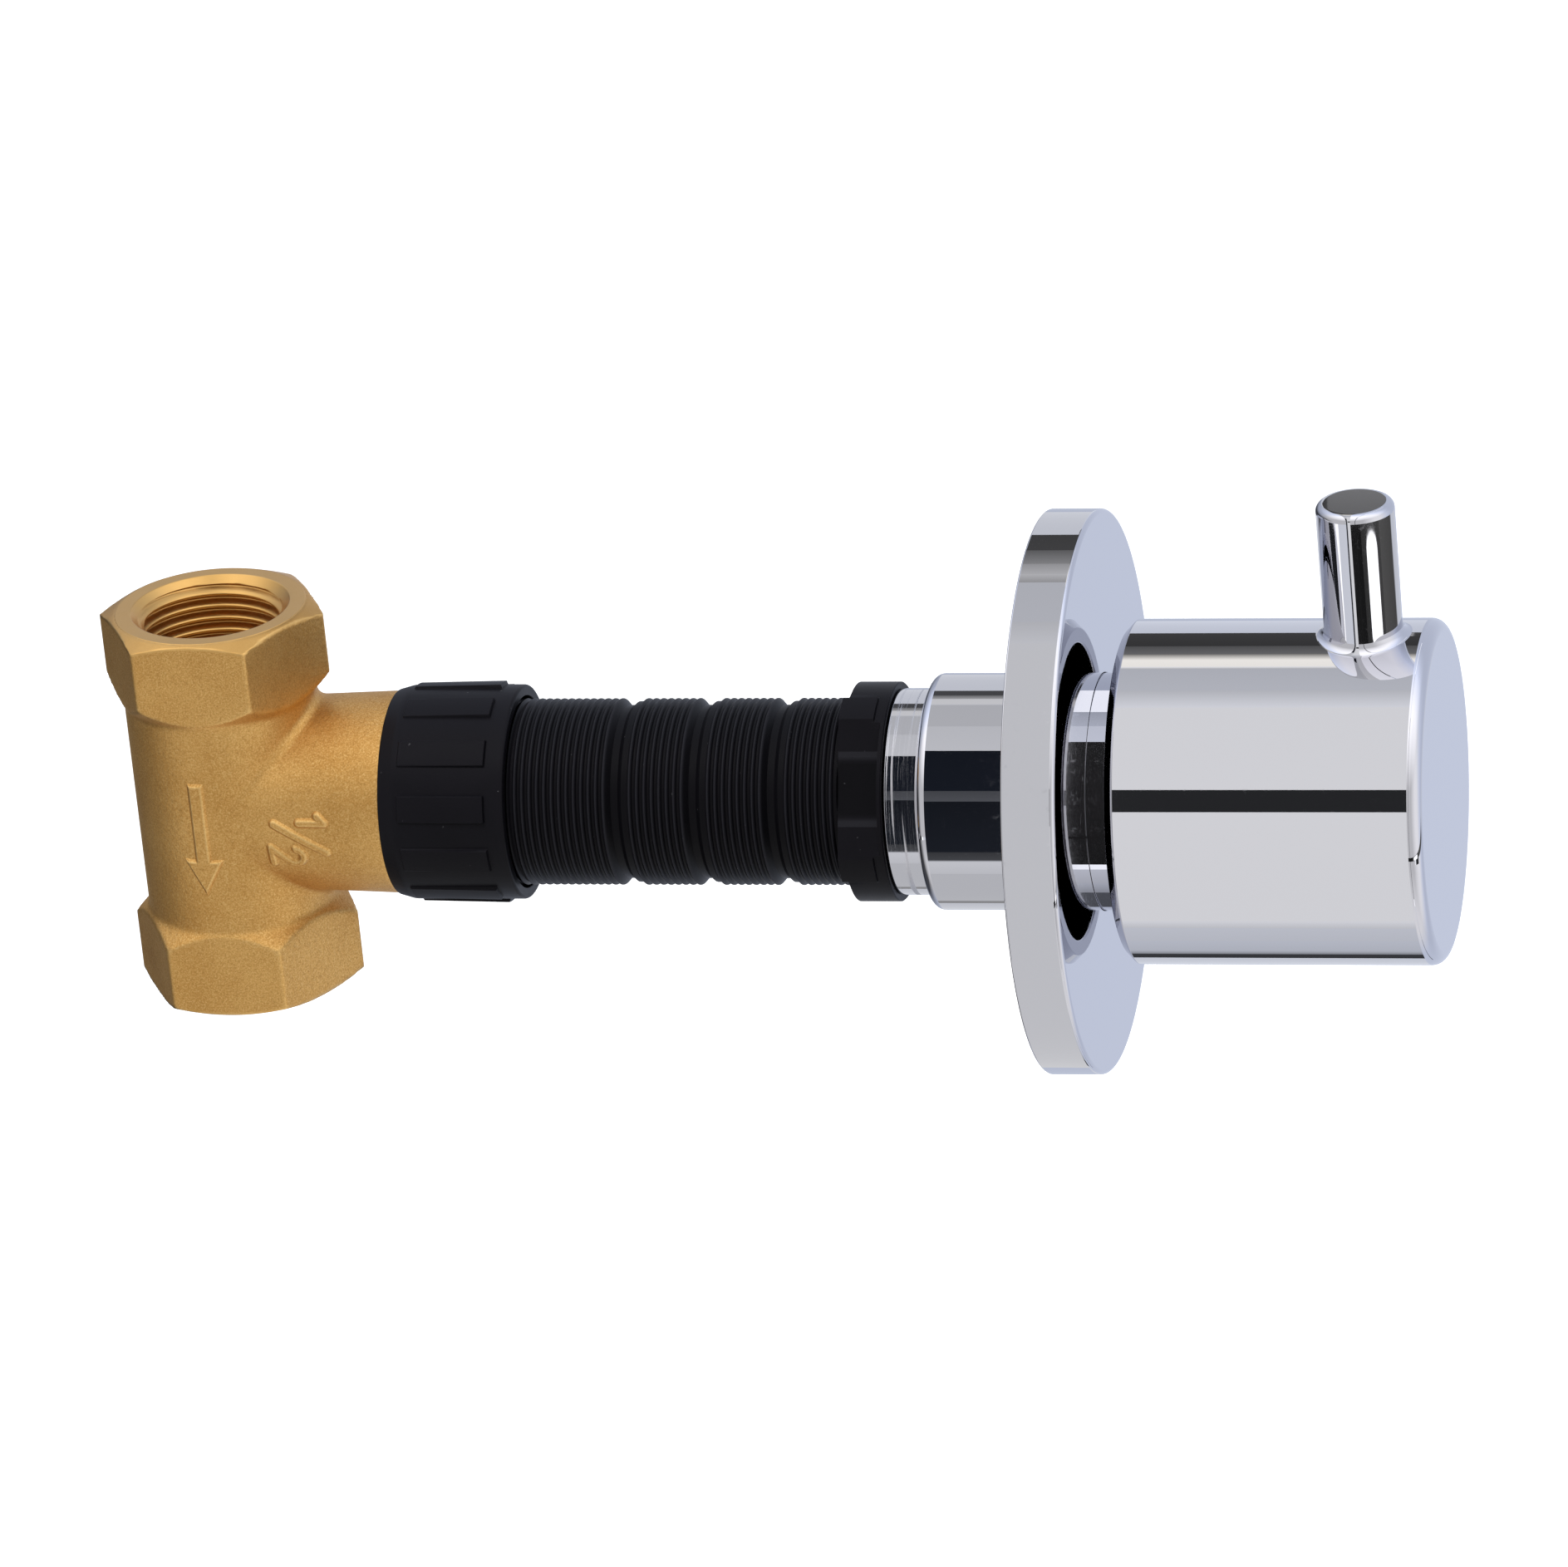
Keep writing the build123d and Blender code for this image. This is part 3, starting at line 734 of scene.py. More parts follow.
def port_lining(name, side):
    """The turned face, countersink and pipe thread of one port, as one closed ring.

    The thread's radius is the minor radius plus the thread's depth times 0.5 + 0.5 cos of the phase,
    depth / pitch + turn / 360. It grows in below the mouth, and is never smaller than the countersink's
    cone. The lower port is the upper one turned half round the spindle, so both are right-handed.
    """
    turn = full_turn(thread_turn_steps)
    depth = np.linspace(0, thread_depth, thread_rows)[:, None]
    phase = (depth / thread_pitch + turn / (2 * pi)) % 1
    wave = 0.5 + 0.5 * np.cos(2 * pi * phase)
    grown = smooth_step((depth - thread_start) / thread_lead)
    thread = thread_minor_radius + (thread_major_radius - thread_minor_radius) * wave * grown
    radius = np.maximum(thread, mouth_radius - depth)
    ring = np.ones_like(turn)
    wall_rows = [
        (lining_wall_radius, thread_depth),
        (lining_wall_radius, 0.8),
        (face_radius - 0.1, 0.8),
        (face_radius, 0.1),
        (face_radius - 0.1, 0.0),
        (face_radius - 0.14, 0.0),
        (mouth_radius + 0.14, 0.0),
        (mouth_radius + 0.1, 0.0),
    ]
    radius = np.vstack([radius] + [row[0] * ring for row in wall_rows])
    depth = np.vstack([depth + 0 * turn] + [row[1] * ring for row in wall_rows])
    height = side * (spindle - depth)
    grid = np.stack([radius * np.cos(turn), side * radius * np.sin(turn), spindle + height], axis=-1)
    return surface_piece(name, grid, sharp_deg=62.0)


def relief_piece(name, across, along, height, carry):
    """A raised mark as a closed patch. Its top is the height over the mark, its edges are sunk.

    Both end columns shrink to a point below the skin, and two deep rows close the underside.
    """
    u, v = np.meshgrid(across, along)
    top = carry(u, v, height(u, v))
    low_u, low_v = np.meshgrid(across, along[[-1, 0]])
    low = carry(low_u, low_v, np.full(low_u.shape, -relief_root))
    grid = np.vstack([top, low])
    middle = np.array([(along[0] + along[-1]) / 2])
    root = np.array([-relief_root])
    grid[:, 0] = carry(across[:1], middle, root)
    grid[:, -1] = carry(across[-1:], middle, root)
    mesh = grid_mesh(name, grid, close_rows=True, close_columns=False, sharp_deg=60.0)
    # The same measure gives the raised marks a painted highlight on their edges and painted shade at their
    # roots.
    mark_edges(mesh, vertex_places(mesh), relief_edge_step)
    return put_object(name, mesh)


def raised(inside):
    """Height from the distance inside a mark's edge: sunk outside, then a soft slope to the top."""
    slope = smooth_step(inside / relief_slope + 0.5)
    return -relief_sink + (relief_height + relief_sink) * slope


def arrow_piece():
    """The flow arrow on the pipe's front: a straight shaft and a triangular head."""
    across = np.arange(-3.6, 3.6, relief_cell)
    along = np.arange(arrow_tip - 0.8, arrow_top + 0.8, relief_cell)
    length = arrow_neck - arrow_tip
    lean = length / sqrt(length**2 + arrow_head_half_width**2)

    def height(u, v):
        shaft = np.minimum(arrow_half_width - np.abs(u), np.minimum(arrow_top - v, v - arrow_neck + 1))
        taper = arrow_head_half_width * (v - arrow_tip) / length - np.abs(u)
        head = np.minimum(taper * lean, arrow_neck - v)
        return raised(np.maximum(shaft, head))

    def carry(u, v, h):
        turn = (u + arrow_turn) / pipe_radius
        reach = pipe_radius + h
        return np.stack([reach * np.sin(turn), -reach * np.cos(turn), spindle + v], axis=-1)

    return relief_piece("flow_arrow", across, along, height, carry)


def stroke_distance(x, y, points):
    """Distance from each place to a line through the given points."""
    points = np.array(points, float)
    nearest = np.full(x.shape, np.inf)
    for start, end in zip(points[:-1], points[1:]):
        run = end - start
        part = ((x - start[0]) * run[0] + (y - start[1]) * run[1]) / (run @ run)
        part = np.clip(part, 0, 1)
        gap = np.hypot(x - start[0] - part * run[0], y - start[1] - part * run[1])
        nearest = np.minimum(nearest, gap)
    return nearest


def size_numeral_piece():
    """The port size, a half, on the neck: it reads downwards, with its top towards the handle."""
    across = np.arange(-5.4, 5.4, relief_cell)
    along = np.arange(-5.2, 5.6, relief_cell)
    bowl = np.radians(np.linspace(165, -35, 12))
    bowl_middle, bowl_radius = (2.75, -0.55), 1.25
    two = [(bowl_middle[0] + bowl_radius * cos(a), bowl_middle[1] + bowl_radius * sin(a)) for a in bowl]
    two += [(1.35, -3.75), (4.1, -3.75)]
    one = [(-3.5, 3.3), (-2.5, 4.2), (-2.5, 0.6)]
    bar = [(-2.3, -3.0), (2.0, 4.1)]

    def height(u, v):
        away = np.minimum(stroke_distance(-u, v, two), stroke_distance(-u, v, one))
        away = np.minimum(away, stroke_distance(-u, v, bar) - 0.05)
        return raised(stroke_half_width - away)

    def carry(u, v, h):
        place = numeral_place + v
        radius = neck_root_radius + (neck_end_radius - neck_root_radius) * place / neck_length
        turn = (u + numeral_turn) / (neck_root_radius + 0.45)
        return around_spindle(place, radius + h, turn)

    return relief_piece("size_numeral", across, along, height, carry)


class Value:
    """A shader value. Arithmetic on it adds Math nodes to its tree."""

    def __init__(self, tree, socket):
        self.tree = tree
        self.socket = socket

    def math(self, operation, *others):
        node = self.tree.nodes.new("ShaderNodeMath")
        node.operation = operation
        for slot, item in enumerate((self, *others)):
            if isinstance(item, Value):
                self.tree.links.new(item.socket, node.inputs[slot])
            else:
                node.inputs[slot].default_value = item
        return Value(self.tree, node.outputs[0])

    def flipped(self, operation, other):
        node = self.tree.nodes.new("ShaderNodeMath")
        node.operation = operation
        node.inputs[0].default_value = other
        self.tree.links.new(self.socket, node.inputs[1])
        return Value(self.tree, node.outputs[0])

    def __add__(self, other):
        return self.math("ADD", other)

    def __radd__(self, other):
        return self.math("ADD", other)

    def __sub__(self, other):
        return self.math("SUBTRACT", other)

    def __rsub__(self, other):
        return self.flipped("SUBTRACT", other)

    def __mul__(self, other):
        return self.math("MULTIPLY", other)

    def __rmul__(self, other):
        return self.math("MULTIPLY", other)

    def __truediv__(self, other):
        return self.math("DIVIDE", other)

    def __pow__(self, other):
        return self.math("POWER", other)

    def __gt__(self, other):
        return self.math("GREATER_THAN", other)

    def __lt__(self, other):
        return self.math("LESS_THAN", other)

    def __abs__(self):
        return self.math("ABSOLUTE")

    def clamp(self):
        return self.math("MAXIMUM", 0.0).math("MINIMUM", 1.0)

    def ramp(self, low, high):
        """0 below low, 1 above high, straight between."""
        return ((self - low) / (high - low)).clamp()


class Nodes:
    """One node tree. add() makes any node from its type, its settings and its sockets."""

    def __init__(self, tree, output):
        self.tree = tree
        tree.nodes.clear()
        self.output = tree.nodes.new(output)

    def add(self, kind, settings=None, out=0, **sockets):
        node = self.tree.nodes.new(kind)
        for key, value in (settings or {}).items():
            setattr(node, key, value)
        for key, value in sockets.items():
            name = key.replace("_", " ")
            socket = node.inputs[name] if name in node.inputs else node.inputs[int(key[1:])]
            if isinstance(value, Value):
                self.tree.links.new(value.socket, socket)
            elif isinstance(value, bpy.types.NodeSocket):
                self.tree.links.new(value, socket)
            else:
                socket.default_value = value
        return Value(self.tree, node.outputs[out])

    def blend(self, factor, first, second):
        """A colour between two, by a factor."""
        return self.add("ShaderNodeMix", {"data_type": "RGBA"}, out=2, n0=factor, n6=first, n7=second)

    def end_in(self, shader):
        """Gives a shader to the output."""
        self.tree.links.new(shader.socket, self.output.inputs["Surface"])


class Finish(Nodes):
    """One material, with patterns in the object's own space."""

    def __init__(self, name):
        self.material = bpy.data.materials.new(name)
        self.material.use_nodes = True
        super().__init__(self.material.node_tree, "ShaderNodeOutputMaterial")
        self.place = self.add("ShaderNodeTexCoord", out="Object").socket

    def axis(self, letter):
        """One coordinate of the place on the object, in metres."""
        return self.add("ShaderNodeSeparateXYZ", out="XYZ".index(letter), Vector=self.place)

    def noise(self, scale, detail=3.0, roughness=0.5, stretch=(1, 1, 1)):
        """Soft noise in the object's own space, as lumps per metre."""
        place = self.add("ShaderNodeVectorMath", {"operation": "MULTIPLY"}, n0=self.place, n1=stretch)
        return self.add("ShaderNodeTexNoise", Vector=place, Scale=scale, Detail=detail, Roughness=roughness)

    def bump(self, height, strength, distance, below=None):
        """A bumped normal, on top of another where one is given."""
        sockets = {"Height": height, "Strength": strength, "Distance": distance}
        if below is not None:
            sockets["Normal"] = below
        return self.add("ShaderNodeBump", **sockets)

    def surface(self, **sockets):
        """Ends the material in a Principled shader."""
        self.end_in(self.add("ShaderNodeBsdfPrincipled", **sockets))
        return self.material


def from_axis(one, other):
    """The distance from an axis, from two coordinates across it."""
    return (one * one + other * other) ** 0.5


def rgb(red, green, blue):
    """A colour with full alpha."""
    return (red, green, blue, 1.0)


def polished_chrome():
    """Mirror plating with a very faint waviness and a trace of dust."""
    finish = Finish("polished_chrome")
    wave = finish.noise(60.0, detail=1.0)
    haze = finish.noise(900.0, detail=2.0)
    rough = chrome_roughness + haze.ramp(0.62, 0.8) * 0.04
    return finish.surface(
        Base_Color=rgb(*chrome_colour),
        Metallic=1.0,
        Roughness=rough,
        Normal=finish.bump(wave, 0.1, 0.000012),
    )


def scratched_chrome():
    """Chrome scuffed by the sliding sleeve: fine rings round the axis and a few deeper ones."""
    finish = Finish("scratched_chrome")
    fine = finish.noise(1.0, detail=4.0, roughness=0.7, stretch=(9000, 60, 60))
    deep = finish.noise(1.0, detail=2.0, roughness=0.6, stretch=(2600, 25, 25)).ramp(0.56, 0.66)
    patches = finish.noise(120.0, detail=3.0)
    rough = 0.03 + fine.ramp(0.5, 0.75) * 0.12 + deep * 0.9 * patches
    tone = finish.blend(deep * 0.2, rgb(*chrome_colour), rgb(0.30, 0.29, 0.30))
    return finish.surface(
        Base_Color=tone,
        Metallic=1.0,
        Roughness=rough,
        Normal=finish.bump(fine, 0.2, 0.000002),
    )


def cast_brass():
    """Sand-blasted brass casting: fine grit, soft pits, clouds of tone, edges brightened partly for wear
    and partly as a painted highlight, creases darkened with painted shade.

    The chamfers at the port faces are turned: the mask is where height + slope x (radius - start) comes
    up to half the body's height. There the grit fades.
    """
    finish = Finish("cast_brass")
    radius = from_axis(finish.axis("X"), finish.axis("Y"))
    height = abs(finish.axis("Z") - spindle_z)
    cone = height + (radius - chamfer_start * MM) * chamfer_slope - spindle_z
    turned = cone.ramp(-0.0005, -0.0002) * (radius < chamfer_reach * MM)
    edge = finish.add("ShaderNodeAttribute", {"attribute_name": "edge"}, out="Fac")
    worn_and_lit_edge = edge.ramp(0.25, 0.85)
    crease_shade = edge.ramp(-0.15, -0.8)
    grit = finish.noise(4400.0, detail=2.0, roughness=0.65)
    pits = finish.noise(1500.0, detail=2.0, roughness=0.6)
    lumps = finish.noise(260.0, detail=3.0, roughness=0.55)
    cloud = finish.noise(75.0, detail=3.0)
    rough_skin = 1 - turned * 0.9
    tone = finish.blend(cloud.ramp(0.35, 0.68), rgb(*brass_colour), rgb(*brass_light))
    tone = finish.blend(grit.ramp(0.5, 0.76) * 0.45 * rough_skin, tone, rgb(*brass_shade))
    tone = finish.blend(grit.ramp(0.5, 0.24) * 0.52 * rough_skin, tone, rgb(*brass_bright))
    tone = finish.blend(pits.ramp(0.56, 0.75) * 0.2 * rough_skin, tone, rgb(*brass_shade))
    # Painted shade: the creases are darkened.
    tone = finish.blend(crease_shade * 0.3, tone, rgb(*brass_shade))
    # Convex edges take the bright tone: partly wear, partly a painted highlight.
    tone = finish.blend(worn_and_lit_edge * 0.28, tone, rgb(*brass_bright))
    soft = finish.bump(lumps, 0.4, 0.00018)
    middle = finish.bump(pits * rough_skin, 0.6, 0.00011, below=soft)
    return finish.surface(
        Base_Color=tone,
        Metallic=1.0,
        Roughness=0.42 + grit * 0.2 - turned * 0.12 - worn_and_lit_edge * 0.1,
        Normal=finish.bump(grit * rough_skin, 0.55, 0.00004, below=middle),
    )


def turned_brass():
    """Brass fresh from the lathe, with fine turning rings about the pipe's axis."""
    finish = Finish("turned_brass")
    radius = from_axis(finish.axis("X"), finish.axis("Y"))
    rings = (radius * 16000.0 + finish.noise(300.0) * 3.0).math("SINE")
    tone = finish.blend(finish.noise(160.0), rgb(0.62, 0.36, 0.108), rgb(0.73, 0.44, 0.15))
    return finish.surface(
        Base_Color=tone,
        Metallic=1.0,
        Roughness=0.28 + finish.noise(700.0) * 0.12,
        Normal=finish.bump(rings, 0.12, 0.00001),
    )


def lathe_brass():
    """The headwork's brass, turned about the spindle."""
    finish = Finish("lathe_brass")
    rings = finish.noise(1.0, detail=2.0, stretch=(5200, 5200, 5200))
    tone = finish.blend(finish.noise(160.0), rgb(0.60, 0.33, 0.12), rgb(0.68, 0.40, 0.17))
    return finish.surface(
        Base_Color=tone,
        Metallic=1.0,
        Roughness=0.2 + rings * 0.16,
        Normal=finish.bump(rings, 0.2, 0.00002),
    )


def black_plastic():
    """Satin moulded plastic: faint spark-eroded grain, a painted highlight on the rib crests, painted shade
    in the rib roots, specks of dust.
    """
    finish = Finish("black_plastic")
    radius = from_axis(finish.axis("Y"), finish.axis("Z") - spindle_z)
    place = finish.axis("X")
    grain = finish.noise(3600.0, detail=2.0, roughness=0.6)
    cloud = finish.noise(130.0, detail=3.0)
    dust = finish.noise(1500.0, detail=1.0).ramp(0.79, 0.83)
    crest = crest_radius * MM
    ribbed = (place > (ribs_start + 3.0) * MM) * (radius < crest + 0.0002)
    crest_highlight = radius.ramp(crest - 0.00024, crest - 0.00006) * ribbed
    shaded = radius.ramp(crest - 0.00022, crest - 0.00038) * ribbed
    tone = finish.blend(cloud, rgb(*plastic_colour), rgb(0.0068, 0.0064, 0.0085))
    # Painted highlight: the rib crests are lightened.
    tone = finish.blend(crest_highlight * 0.5, tone, rgb(0.026, 0.026, 0.031))
    # Painted shade: the rib roots are darkened.
    tone = finish.blend(shaded * 0.6, tone, rgb(0.001, 0.001, 0.0014))
    tone = finish.blend(dust * 0.6, tone, rgb(0.10, 0.10, 0.105))
    return finish.surface(
        Base_Color=tone,
        Roughness=0.32 + cloud * 0.14,
        Specular_IOR_Level=0.075,
        Normal=finish.bump(grain, 0.2, 0.00003),
    )


def plain_finish(name, colour, roughness, metallic=0.0):
    """A small inner piece's finish: a plain tone with slight mottling and grain."""
    finish = Finish(name)
    grain = finish.noise(2500.0, detail=2.0)
    darker = tuple(part * 0.8 for part in colour)
    tone = finish.blend(finish.noise(200.0), rgb(*colour), rgb(*darker))
    return finish.surface(
        Base_Color=tone,
        Metallic=metallic,
        Roughness=roughness + grain * 0.1,
        Normal=finish.bump(grain, 0.2, 0.00002),
    )


def paint(item, material):
    """Gives a piece or a carried-over node one finish."""
    item.data.materials.clear()
    item.data.materials.append(material)


def add_on(item, body, material):
    """A new piece that is added to what is there, with its body and its finish."""
    paint(item, material)
    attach(item, body)


def stand_for(item, node, body, material):
    """A new piece that takes a node's place."""
    add_on(item, body, material)
    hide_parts(node)


def toned_cards(name, strips, place):
    """Studio cards as one mesh, seen only in reflections.

    Each strip is (low, high, tone at low, tone at high, coolness), its angles in degrees. The function
    place turns angles and a side, 0 or 1, into points in metres.
    """
    points, tones, faces = [], [], []
    for number, (low, high, first, last, cool) in enumerate(strips):
        angle = np.radians(np.linspace(low, high, card_steps))
        points += [place(angle, 0), place(angle, 1)]
        level = np.linspace(first, last, card_steps)[:, None]
        tint = np.array([1 - 0.05 * cool, 1.0, 1 + 0.12 * cool])
        tones += [level * tint] * 2
        start = 2 * card_steps * number
        near = start + np.arange(card_steps - 1)
        far = near + card_steps
        faces.append(np.column_stack([near, near + 1, far + 1, far]))
    mesh = bpy.data.meshes.new(name)
    mesh.from_pydata(np.vstack(points).tolist(), [], np.vstack(faces).tolist())
    colour = np.vstack(tones)
    layer = mesh.attributes.new("tone", "FLOAT_COLOR", "POINT")
    layer.data.foreach_set("color", np.column_stack([colour, np.ones(len(colour))]).ravel())
    item = put_object(name, mesh)
    finish = Finish(name)
    tone = finish.add("ShaderNodeAttribute", {"attribute_name": "tone"}, out="Color")
    finish.end_in(finish.add("ShaderNodeEmission", Color=tone, Strength=1.0))
    paint(item, finish.material)
    for ray in ("camera", "diffuse", "shadow", "transmission", "volume_scatter"):
        setattr(item, "visible_" + ray, False)


def arcs_about_spindle(start, end, distance=card_distance):
    """Places on an arc card: at a distance from the spindle, between two places along it."""

    def place(angle, side):
        across = np.full_like(angle, end if side else start)
        rows = [across, -np.cos(angle) * distance, spindle_z + np.sin(angle) * distance]
        return np.column_stack(rows)

    return place


def posts_about_pin(low, high, distance=card_distance, rounding=(0.0, 0.0)):
    """Places on an upright card about the pin's axis, mirrored between two depths below the pin's top.

    A view ray comes off the upright pin as steep as it met it, so a card shows at depth h where its
    height is top - h - d x (eye - top + h) / reach, d being its distance from the pin's wall and reach
    the eye's level distance. A rounding pulls an end in by that length times 1 - sqrt(1 - u^2), u
    running across from -1 to 1.
    """
    handle_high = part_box("lever_handle")[1]
    centre = handle_high.x - pin_setback * MM
    reach = sqrt((eye.x - centre) ** 2 + eye.y**2)
    top = handle_high.z

    def mirrored(depth):
        return top - depth - (distance - pin_radius * MM) * (eye.z - top + depth) / reach

    def place(angle, side):
        part = np.linspace(-0.995, 0.995, len(angle))
        pull = 1 - np.sqrt(1 - part**2)
        height = mirrored(high) + rounding[1] * pull if side else mirrored(low) - rounding[0] * pull
        rows = [centre + np.sin(angle) * distance, -np.cos(angle) * distance, height + 0 * angle]
        return np.column_stack(rows)

    return place


def studio_cards():
    """The light and dark cards that give the plating its bands.

    Each set is named for the part of the plating that it is meant for.
    """
    toned_cards(
        "handle_cards",
        [
            (154, 182, 0.84, 0.86, 1),
            (136, 154, 0.055, 0.07, 0),
            (127, 136, 0.20, 0.12, 0),
            (121, 127, 1.28, 0.25, -0.7),
            (114.5, 121, 1.25, 1.3, -0.7),
            (112.5, 114.5, 0.68, 1.25, 0),
            (94, 112.5, 0.73, 0.68, 0.5),
            (81, 94, 1.03, 0.73, 0.3),
            (25.6, 81, 1.04, 1.03, 0),
            (11.2, 25.6, 0.03, 0.03, 0.5),
            (-70, 11.2, 1.03, 1.04, 0),
            (-77, -70, 0.82, 1.03, 0.2),
            (-92, -77, 0.76, 0.82, 0.6),
            (-106, -92, 0.67, 0.76, 0.8),
            (-112, -106, 0.3, 0.67, 0.8),
            (-120, -112, 0.05, 0.06, 0.8),
            (-142, -120, 0.82, 0.8, 0.8),
        ],
        arcs_about_spindle(0.0187, 0.0885),
    )
    toned_cards(
        "sleeve_cards",
        [
            (139, 183, 0.84, 0.82, 0.6),
            (131, 139, 0.09, 0.09, 0.3),
            (125.5, 131, 0.5, 0.2, 0),
            (118, 125.5, 0.88, 0.86, 0),
            (116, 118, 0.66, 0.88, 0.2),
            (90, 116, 0.67, 0.66, 0.2),
            (64, 90, 0.80, 0.76, 0.2),
            (25, 64, 0.016, 0.014, 4),
            (15, 25, 0.12, 0.09, 0.8),
            (-36, 15, 0.02, 0.014, 3),
            (-45, -36, 0.09, 0.06, 0.6),
            (-47, -45, 0.85, 0.09, 0.3),
            (-62, -47, 0.80, 0.88, 0.2),
            (-108, -62, 0.70, 0.72, 0.2),
            (-114, -108, 0.33, 0.4, 0),
            (-142, -114, 0.8, 0.78, 0.5),
        ],
        arcs_about_spindle(-0.0360, 0.0033),
    )
    toned_cards(
        "rim_cards",
        [
            (150, 181, 0.82, 0.8, 0.6),
            (137, 150, 0.08, 0.07, 0),
            (127.5, 137, 0.34, 0.16, 0),
            (121, 127.5, 0.64, 0.45, 0),
            (116, 121, 0.45, 0.7, 0),
            (95, 116, 0.70, 0.68, 0.4),
            (85, 95, 0.83, 0.70, 0.2),
            (-125, 85, 0.83, 0.83, 0.1),
        ],
        arcs_about_spindle(0.0033, 0.0187),
    )
    toned_cards(
        "gap_cards",
        [
            (107, 139, 1.8, 1.8, 0.3),
            (90, 107, 0.88, 0.70, 1),
            (73, 90, 1.15, 1.1, 0.8),
            (-50, 73, 0.02, 0.03, 0),
            (-56, -50, 1.9, 1.9, 0.2),
            (-75, -56, 0.8, 1.0, 0.6),
            (-90, -75, 0.5, 0.8, 0.8),
            (-126, -90, 0.12, 0.15, 1),
        ],
        arcs_about_spindle(0.2215, 0.2360),
    )
    toned_cards(
        "crown_card",
        [(148.5, 150.5, 0.62, 0.45, 0), (150.5, 152.5, 0.32, 0.62, 0.2), (152.5, 154, 0.14, 0.32, 0)],
        arcs_about_spindle(0.0655, 0.0800, distance=0.59),
    )
    toned_cards(
        "pin_cards",
        [
            (-165, -130, 0.8, 0.8, 0.8),
            (-130, -110, 0.3, 0.26, 0.8),
            (-110, -90, 1.35, 1.3, 0.6),
            (-90, -62, 0.04, 0.07, 0.4),
            (-62, -58, 0.07, 1.5, 0.2),
            (-58, -43, 1.8, 1.8, 0),
            (-44, -19, 0.92, 0.94, 0.6),
            (-8, 21, 0.018, 0.014, 0),
            (21, 78, 0.045, 0.08, -0.2),
            (78, 126, 0.12, 0.09, -0.3),
            (126, 132, 0.10, 0.8, 0.5),
            (132, 165, 0.8, 0.8, 0.8),
        ],
        posts_about_pin(0.0006, 0.0215),
    )
    toned_cards(
        "pin_flange_cards",
        [
            (45, 53, 1.3, 1.4, 0.2),
            (53, 78, 0.03, 0.04, 0.6),
        ],
        posts_about_pin(0.0196, 0.0446, distance=0.598),
    )
    toned_cards(
        "pin_stripe_card",
        [(34.5, 67.5, 2.1, 2.1, 0)],
        posts_about_pin(0.0031, 0.0198, distance=0.592, rounding=(0.004, 0.002)),
    )


def floor_card():
    """The pale floor, well below the part, nearly white to the camera."""
    mesh = bpy.data.meshes.new("floor")
    signs = [(-1, -1), (1, -1), (1, 1), (-1, 1)]
    corners = [(x * floor_size, y * floor_size, -floor_drop) for x, y in signs]
    mesh.from_pydata(corners, [], [(0, 1, 2, 3)])
    item = put_object("floor", mesh)
    finish = Finish("floor_paint")
    matt = finish.add("ShaderNodeBsdfDiffuse", Color=rgb(0.8, 0.8, 0.8))
    glow = finish.add("ShaderNodeEmission", Color=rgb(1, 1, 1), Strength=floor_glow)
    both = finish.add("ShaderNodeAddShader", n0=matt, n1=glow)
    camera_ray = finish.add("ShaderNodeLightPath", out="Is Camera Ray")
    finish.end_in(finish.add("ShaderNodeMixShader", n0=camera_ray, n1=matt, n2=both))
    paint(item, finish.material)
    item.visible_glossy = False


def studio_world():
    """White surroundings.

    In reflections they are brighter above, below and to the handle's side, even and cooler behind, and dim
    low down on the body's side.
    """
    world = bpy.data.worlds.new("studio")
    bpy.context.scene.world = world
    world.use_nodes = True
    sky = Nodes(world.node_tree, "ShaderNodeOutputWorld")
    place = sky.add("ShaderNodeTexCoord", out="Generated")
    aside, depth, height = (sky.add("ShaderNodeSeparateXYZ", out=axis, Vector=place) for axis in range(3))
    camera_ray, glossy_ray, passing_ray = (
        sky.add("ShaderNodeLightPath", out=f"Is {ray} Ray") for ray in ("Camera", "Glossy", "Transmission")
    )
    mirrored = (glossy_ray + passing_ray).clamp()
    cooler = depth.ramp(-0.12, 0.35) * (1 - camera_ray)
    tint = sky.blend(cooler, rgb(0.96, 0.955, 0.97), rgb(0.68, 0.735, 0.885))
    above = height.ramp(0.4, 0.9) * 0.95
    below = height.ramp(-0.5, -0.9) * 0.3
    front = mirror_level + above + below + aside.ramp(0.48, 0.88) * 0.45
    dark = aside.ramp(-0.15, -0.55) * depth.ramp(-0.55, -0.1) * height.ramp(0.3, -0.05)
    front = front * (1 - dark * 0.9)
    back = depth.ramp(0.3, 0.7) * aside.ramp(-0.3, 0.0)
    mirror = front + (1 - front) * back
    strength = camera_ray + (1 - camera_ray) * (mirrored * mirror + (1 - mirrored) * room_level)
    sky.end_in(sky.add("ShaderNodeBackground", Color=tint, Strength=strength))


def lamp(name, place, size, power):
    """A soft square lamp aimed at the middle of the part, not mirrored in the plating."""
    light = bpy.data.lights.new(name, "AREA")
    light.size = size
    light.energy = power
    item = bpy.data.objects.new(name, light)
    bpy.context.scene.collection.objects.link(item)
    item.location = place
    aim = camera_target - Vector(place)
    item.rotation_euler = aim.to_track_quat("-Z", "Y").to_euler()
    item.visible_glossy = False


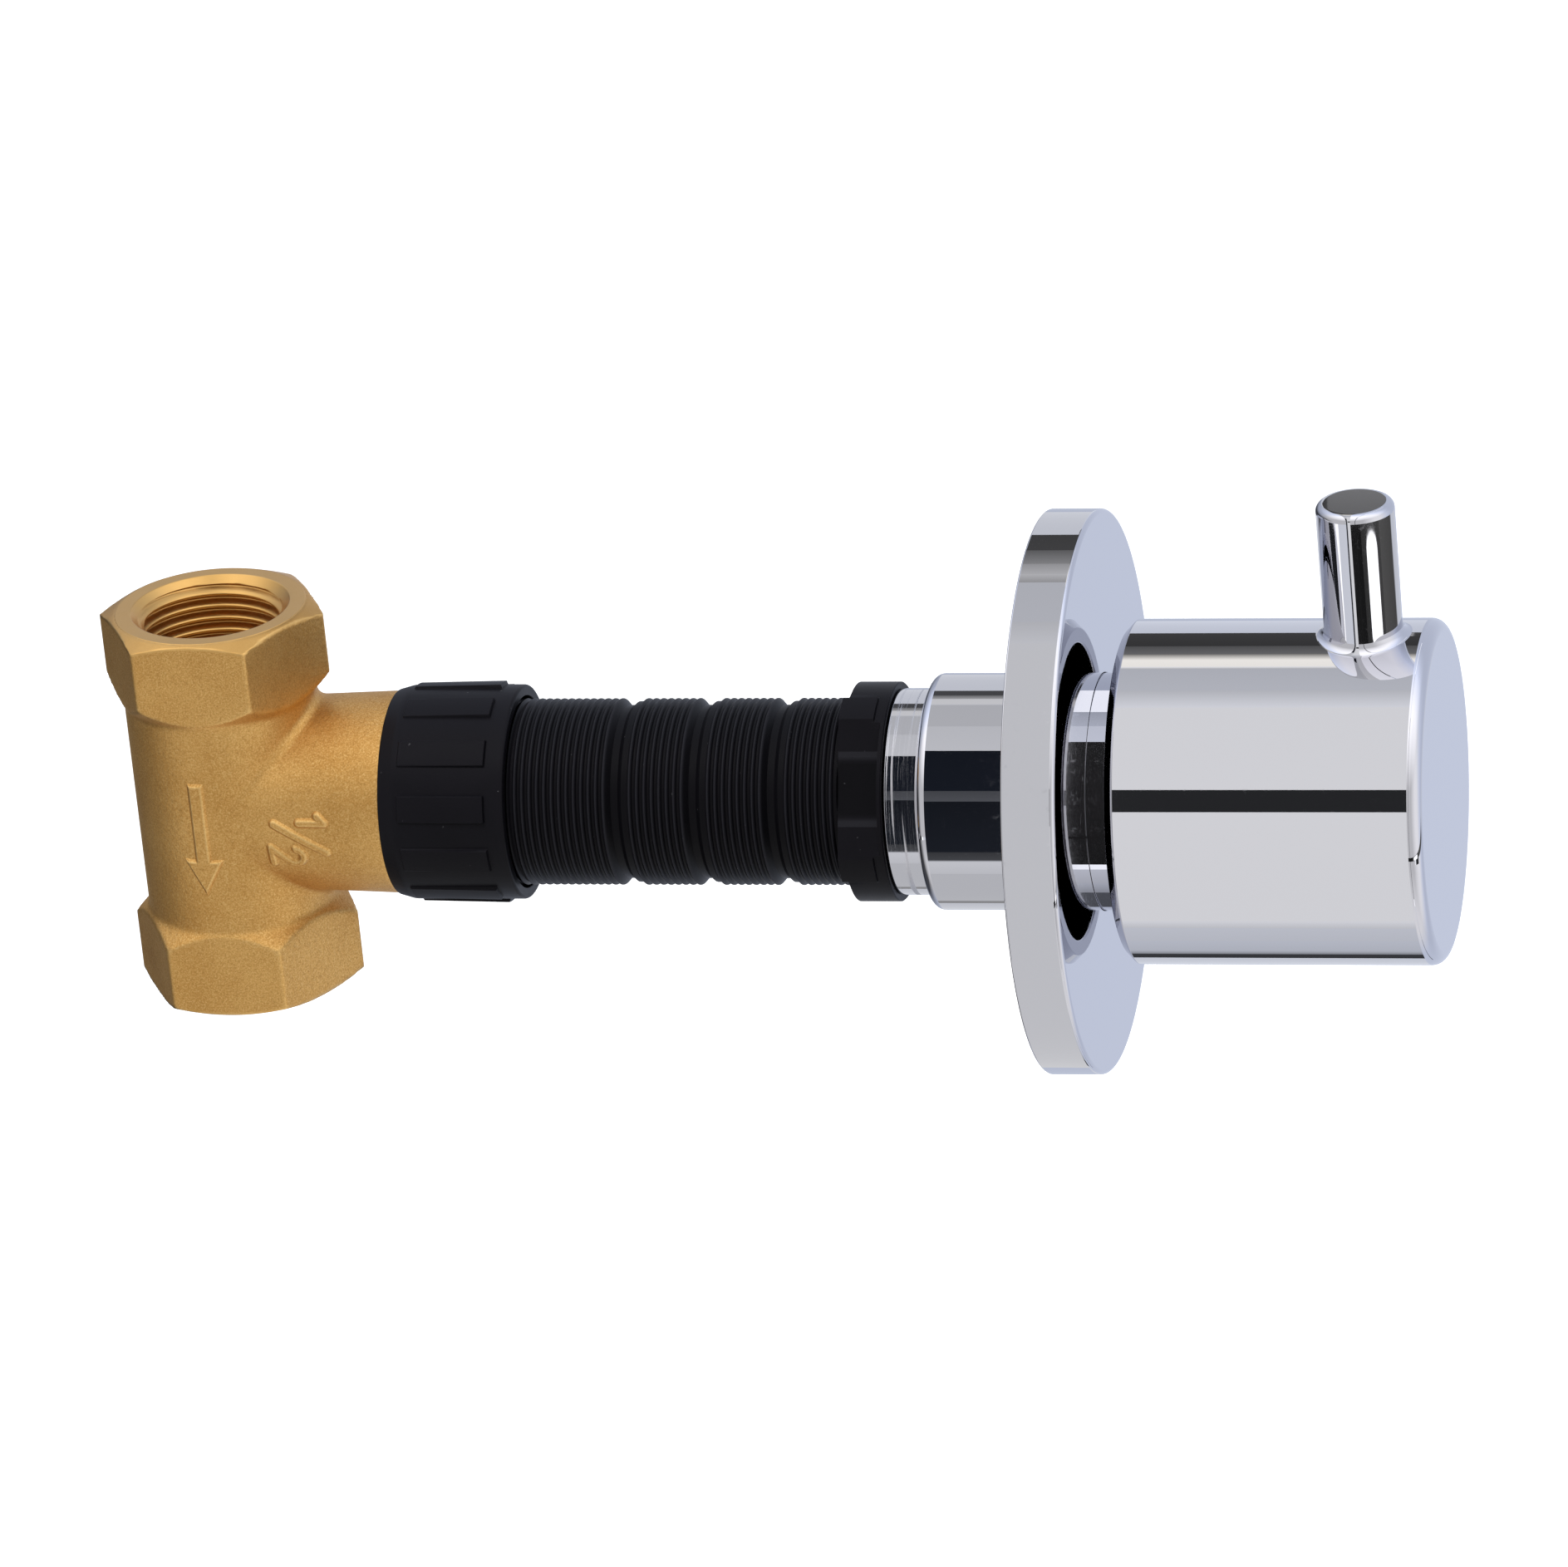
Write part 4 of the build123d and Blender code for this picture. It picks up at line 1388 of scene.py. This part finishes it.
def photo_camera():
    """The camera at the eye. Its level and rising axes are turned by the roll."""
    level = Vector((cos(azimuth), sin(azimuth), 0))
    rise = view_back.cross(level)
    right = level * cos(roll) + rise * sin(roll)
    up = rise * cos(roll) - level * sin(roll)
    turn = Matrix((right, up, view_back)).transposed()
    data = bpy.data.cameras.new("camera")
    data.sensor_width = sensor_width
    data.lens = lens_pixels * sensor_width / photo_width
    data.clip_end = 20.0
    item = bpy.data.objects.new("camera", data)
    item.matrix_world = Matrix.Translation(eye) @ turn.to_4x4()
    bpy.context.scene.collection.objects.link(item)
    bpy.context.scene.camera = item


finishes = {
    "cast_brass": cast_brass(),
    "turned_brass": lathe_brass(),
    "chrome": polished_chrome(),
    "black_plastic": black_plastic(),
    "rubber": plain_finish("rubber", (0.02, 0.02, 0.02), 0.6),
    "ceramic": plain_finish("ceramic", (0.86, 0.86, 0.83), 0.25),
    "white_plastic": plain_finish("white_plastic", (0.8, 0.8, 0.77), 0.4),
    "spring_steel": plain_finish("spring_steel", (0.5, 0.5, 0.52), 0.25, metallic=1.0),
}
for part in frame["record"]["subparts"]:
    paint(frame["nodes"][part["node"]], finishes[part["material_slot"]])

chrome = finishes["chrome"]
plastic = finishes["black_plastic"]
machined = turned_brass()
stand_for(cast_skin(), "valve_body", "valve", finishes["cast_brass"])
add_on(port_lining("upper_port_thread", 1), "valve", machined)
add_on(port_lining("lower_port_thread", -1), "valve", machined)
add_on(arrow_piece(), "valve", finishes["cast_brass"])
add_on(size_numeral_piece(), "valve", finishes["cast_brass"])
stand_for(collar_piece(), "collar_nut", "valve", plastic)
stand_for(guard_tube_piece(), "guard_tube", "valve", plastic)
stand_for(narrow_sleeve_piece(), "narrow_sleeve", "valve", scratched_chrome())
stand_for(wide_sleeve_piece(), "wide_sleeve", "valve", chrome)
stand_for(flange_piece(), "flange", "flange", chrome)
handle = joined(drilled_under(handle_cylinder()), pin_piece())
stand_for(handle, "lever_handle", "handle", chrome)

studio_world()
floor_card()
studio_cards()
lamp("key", key_place, key_size, key_power)
photo_camera()
bpy.context.scene.view_settings.view_transform = "Standard"
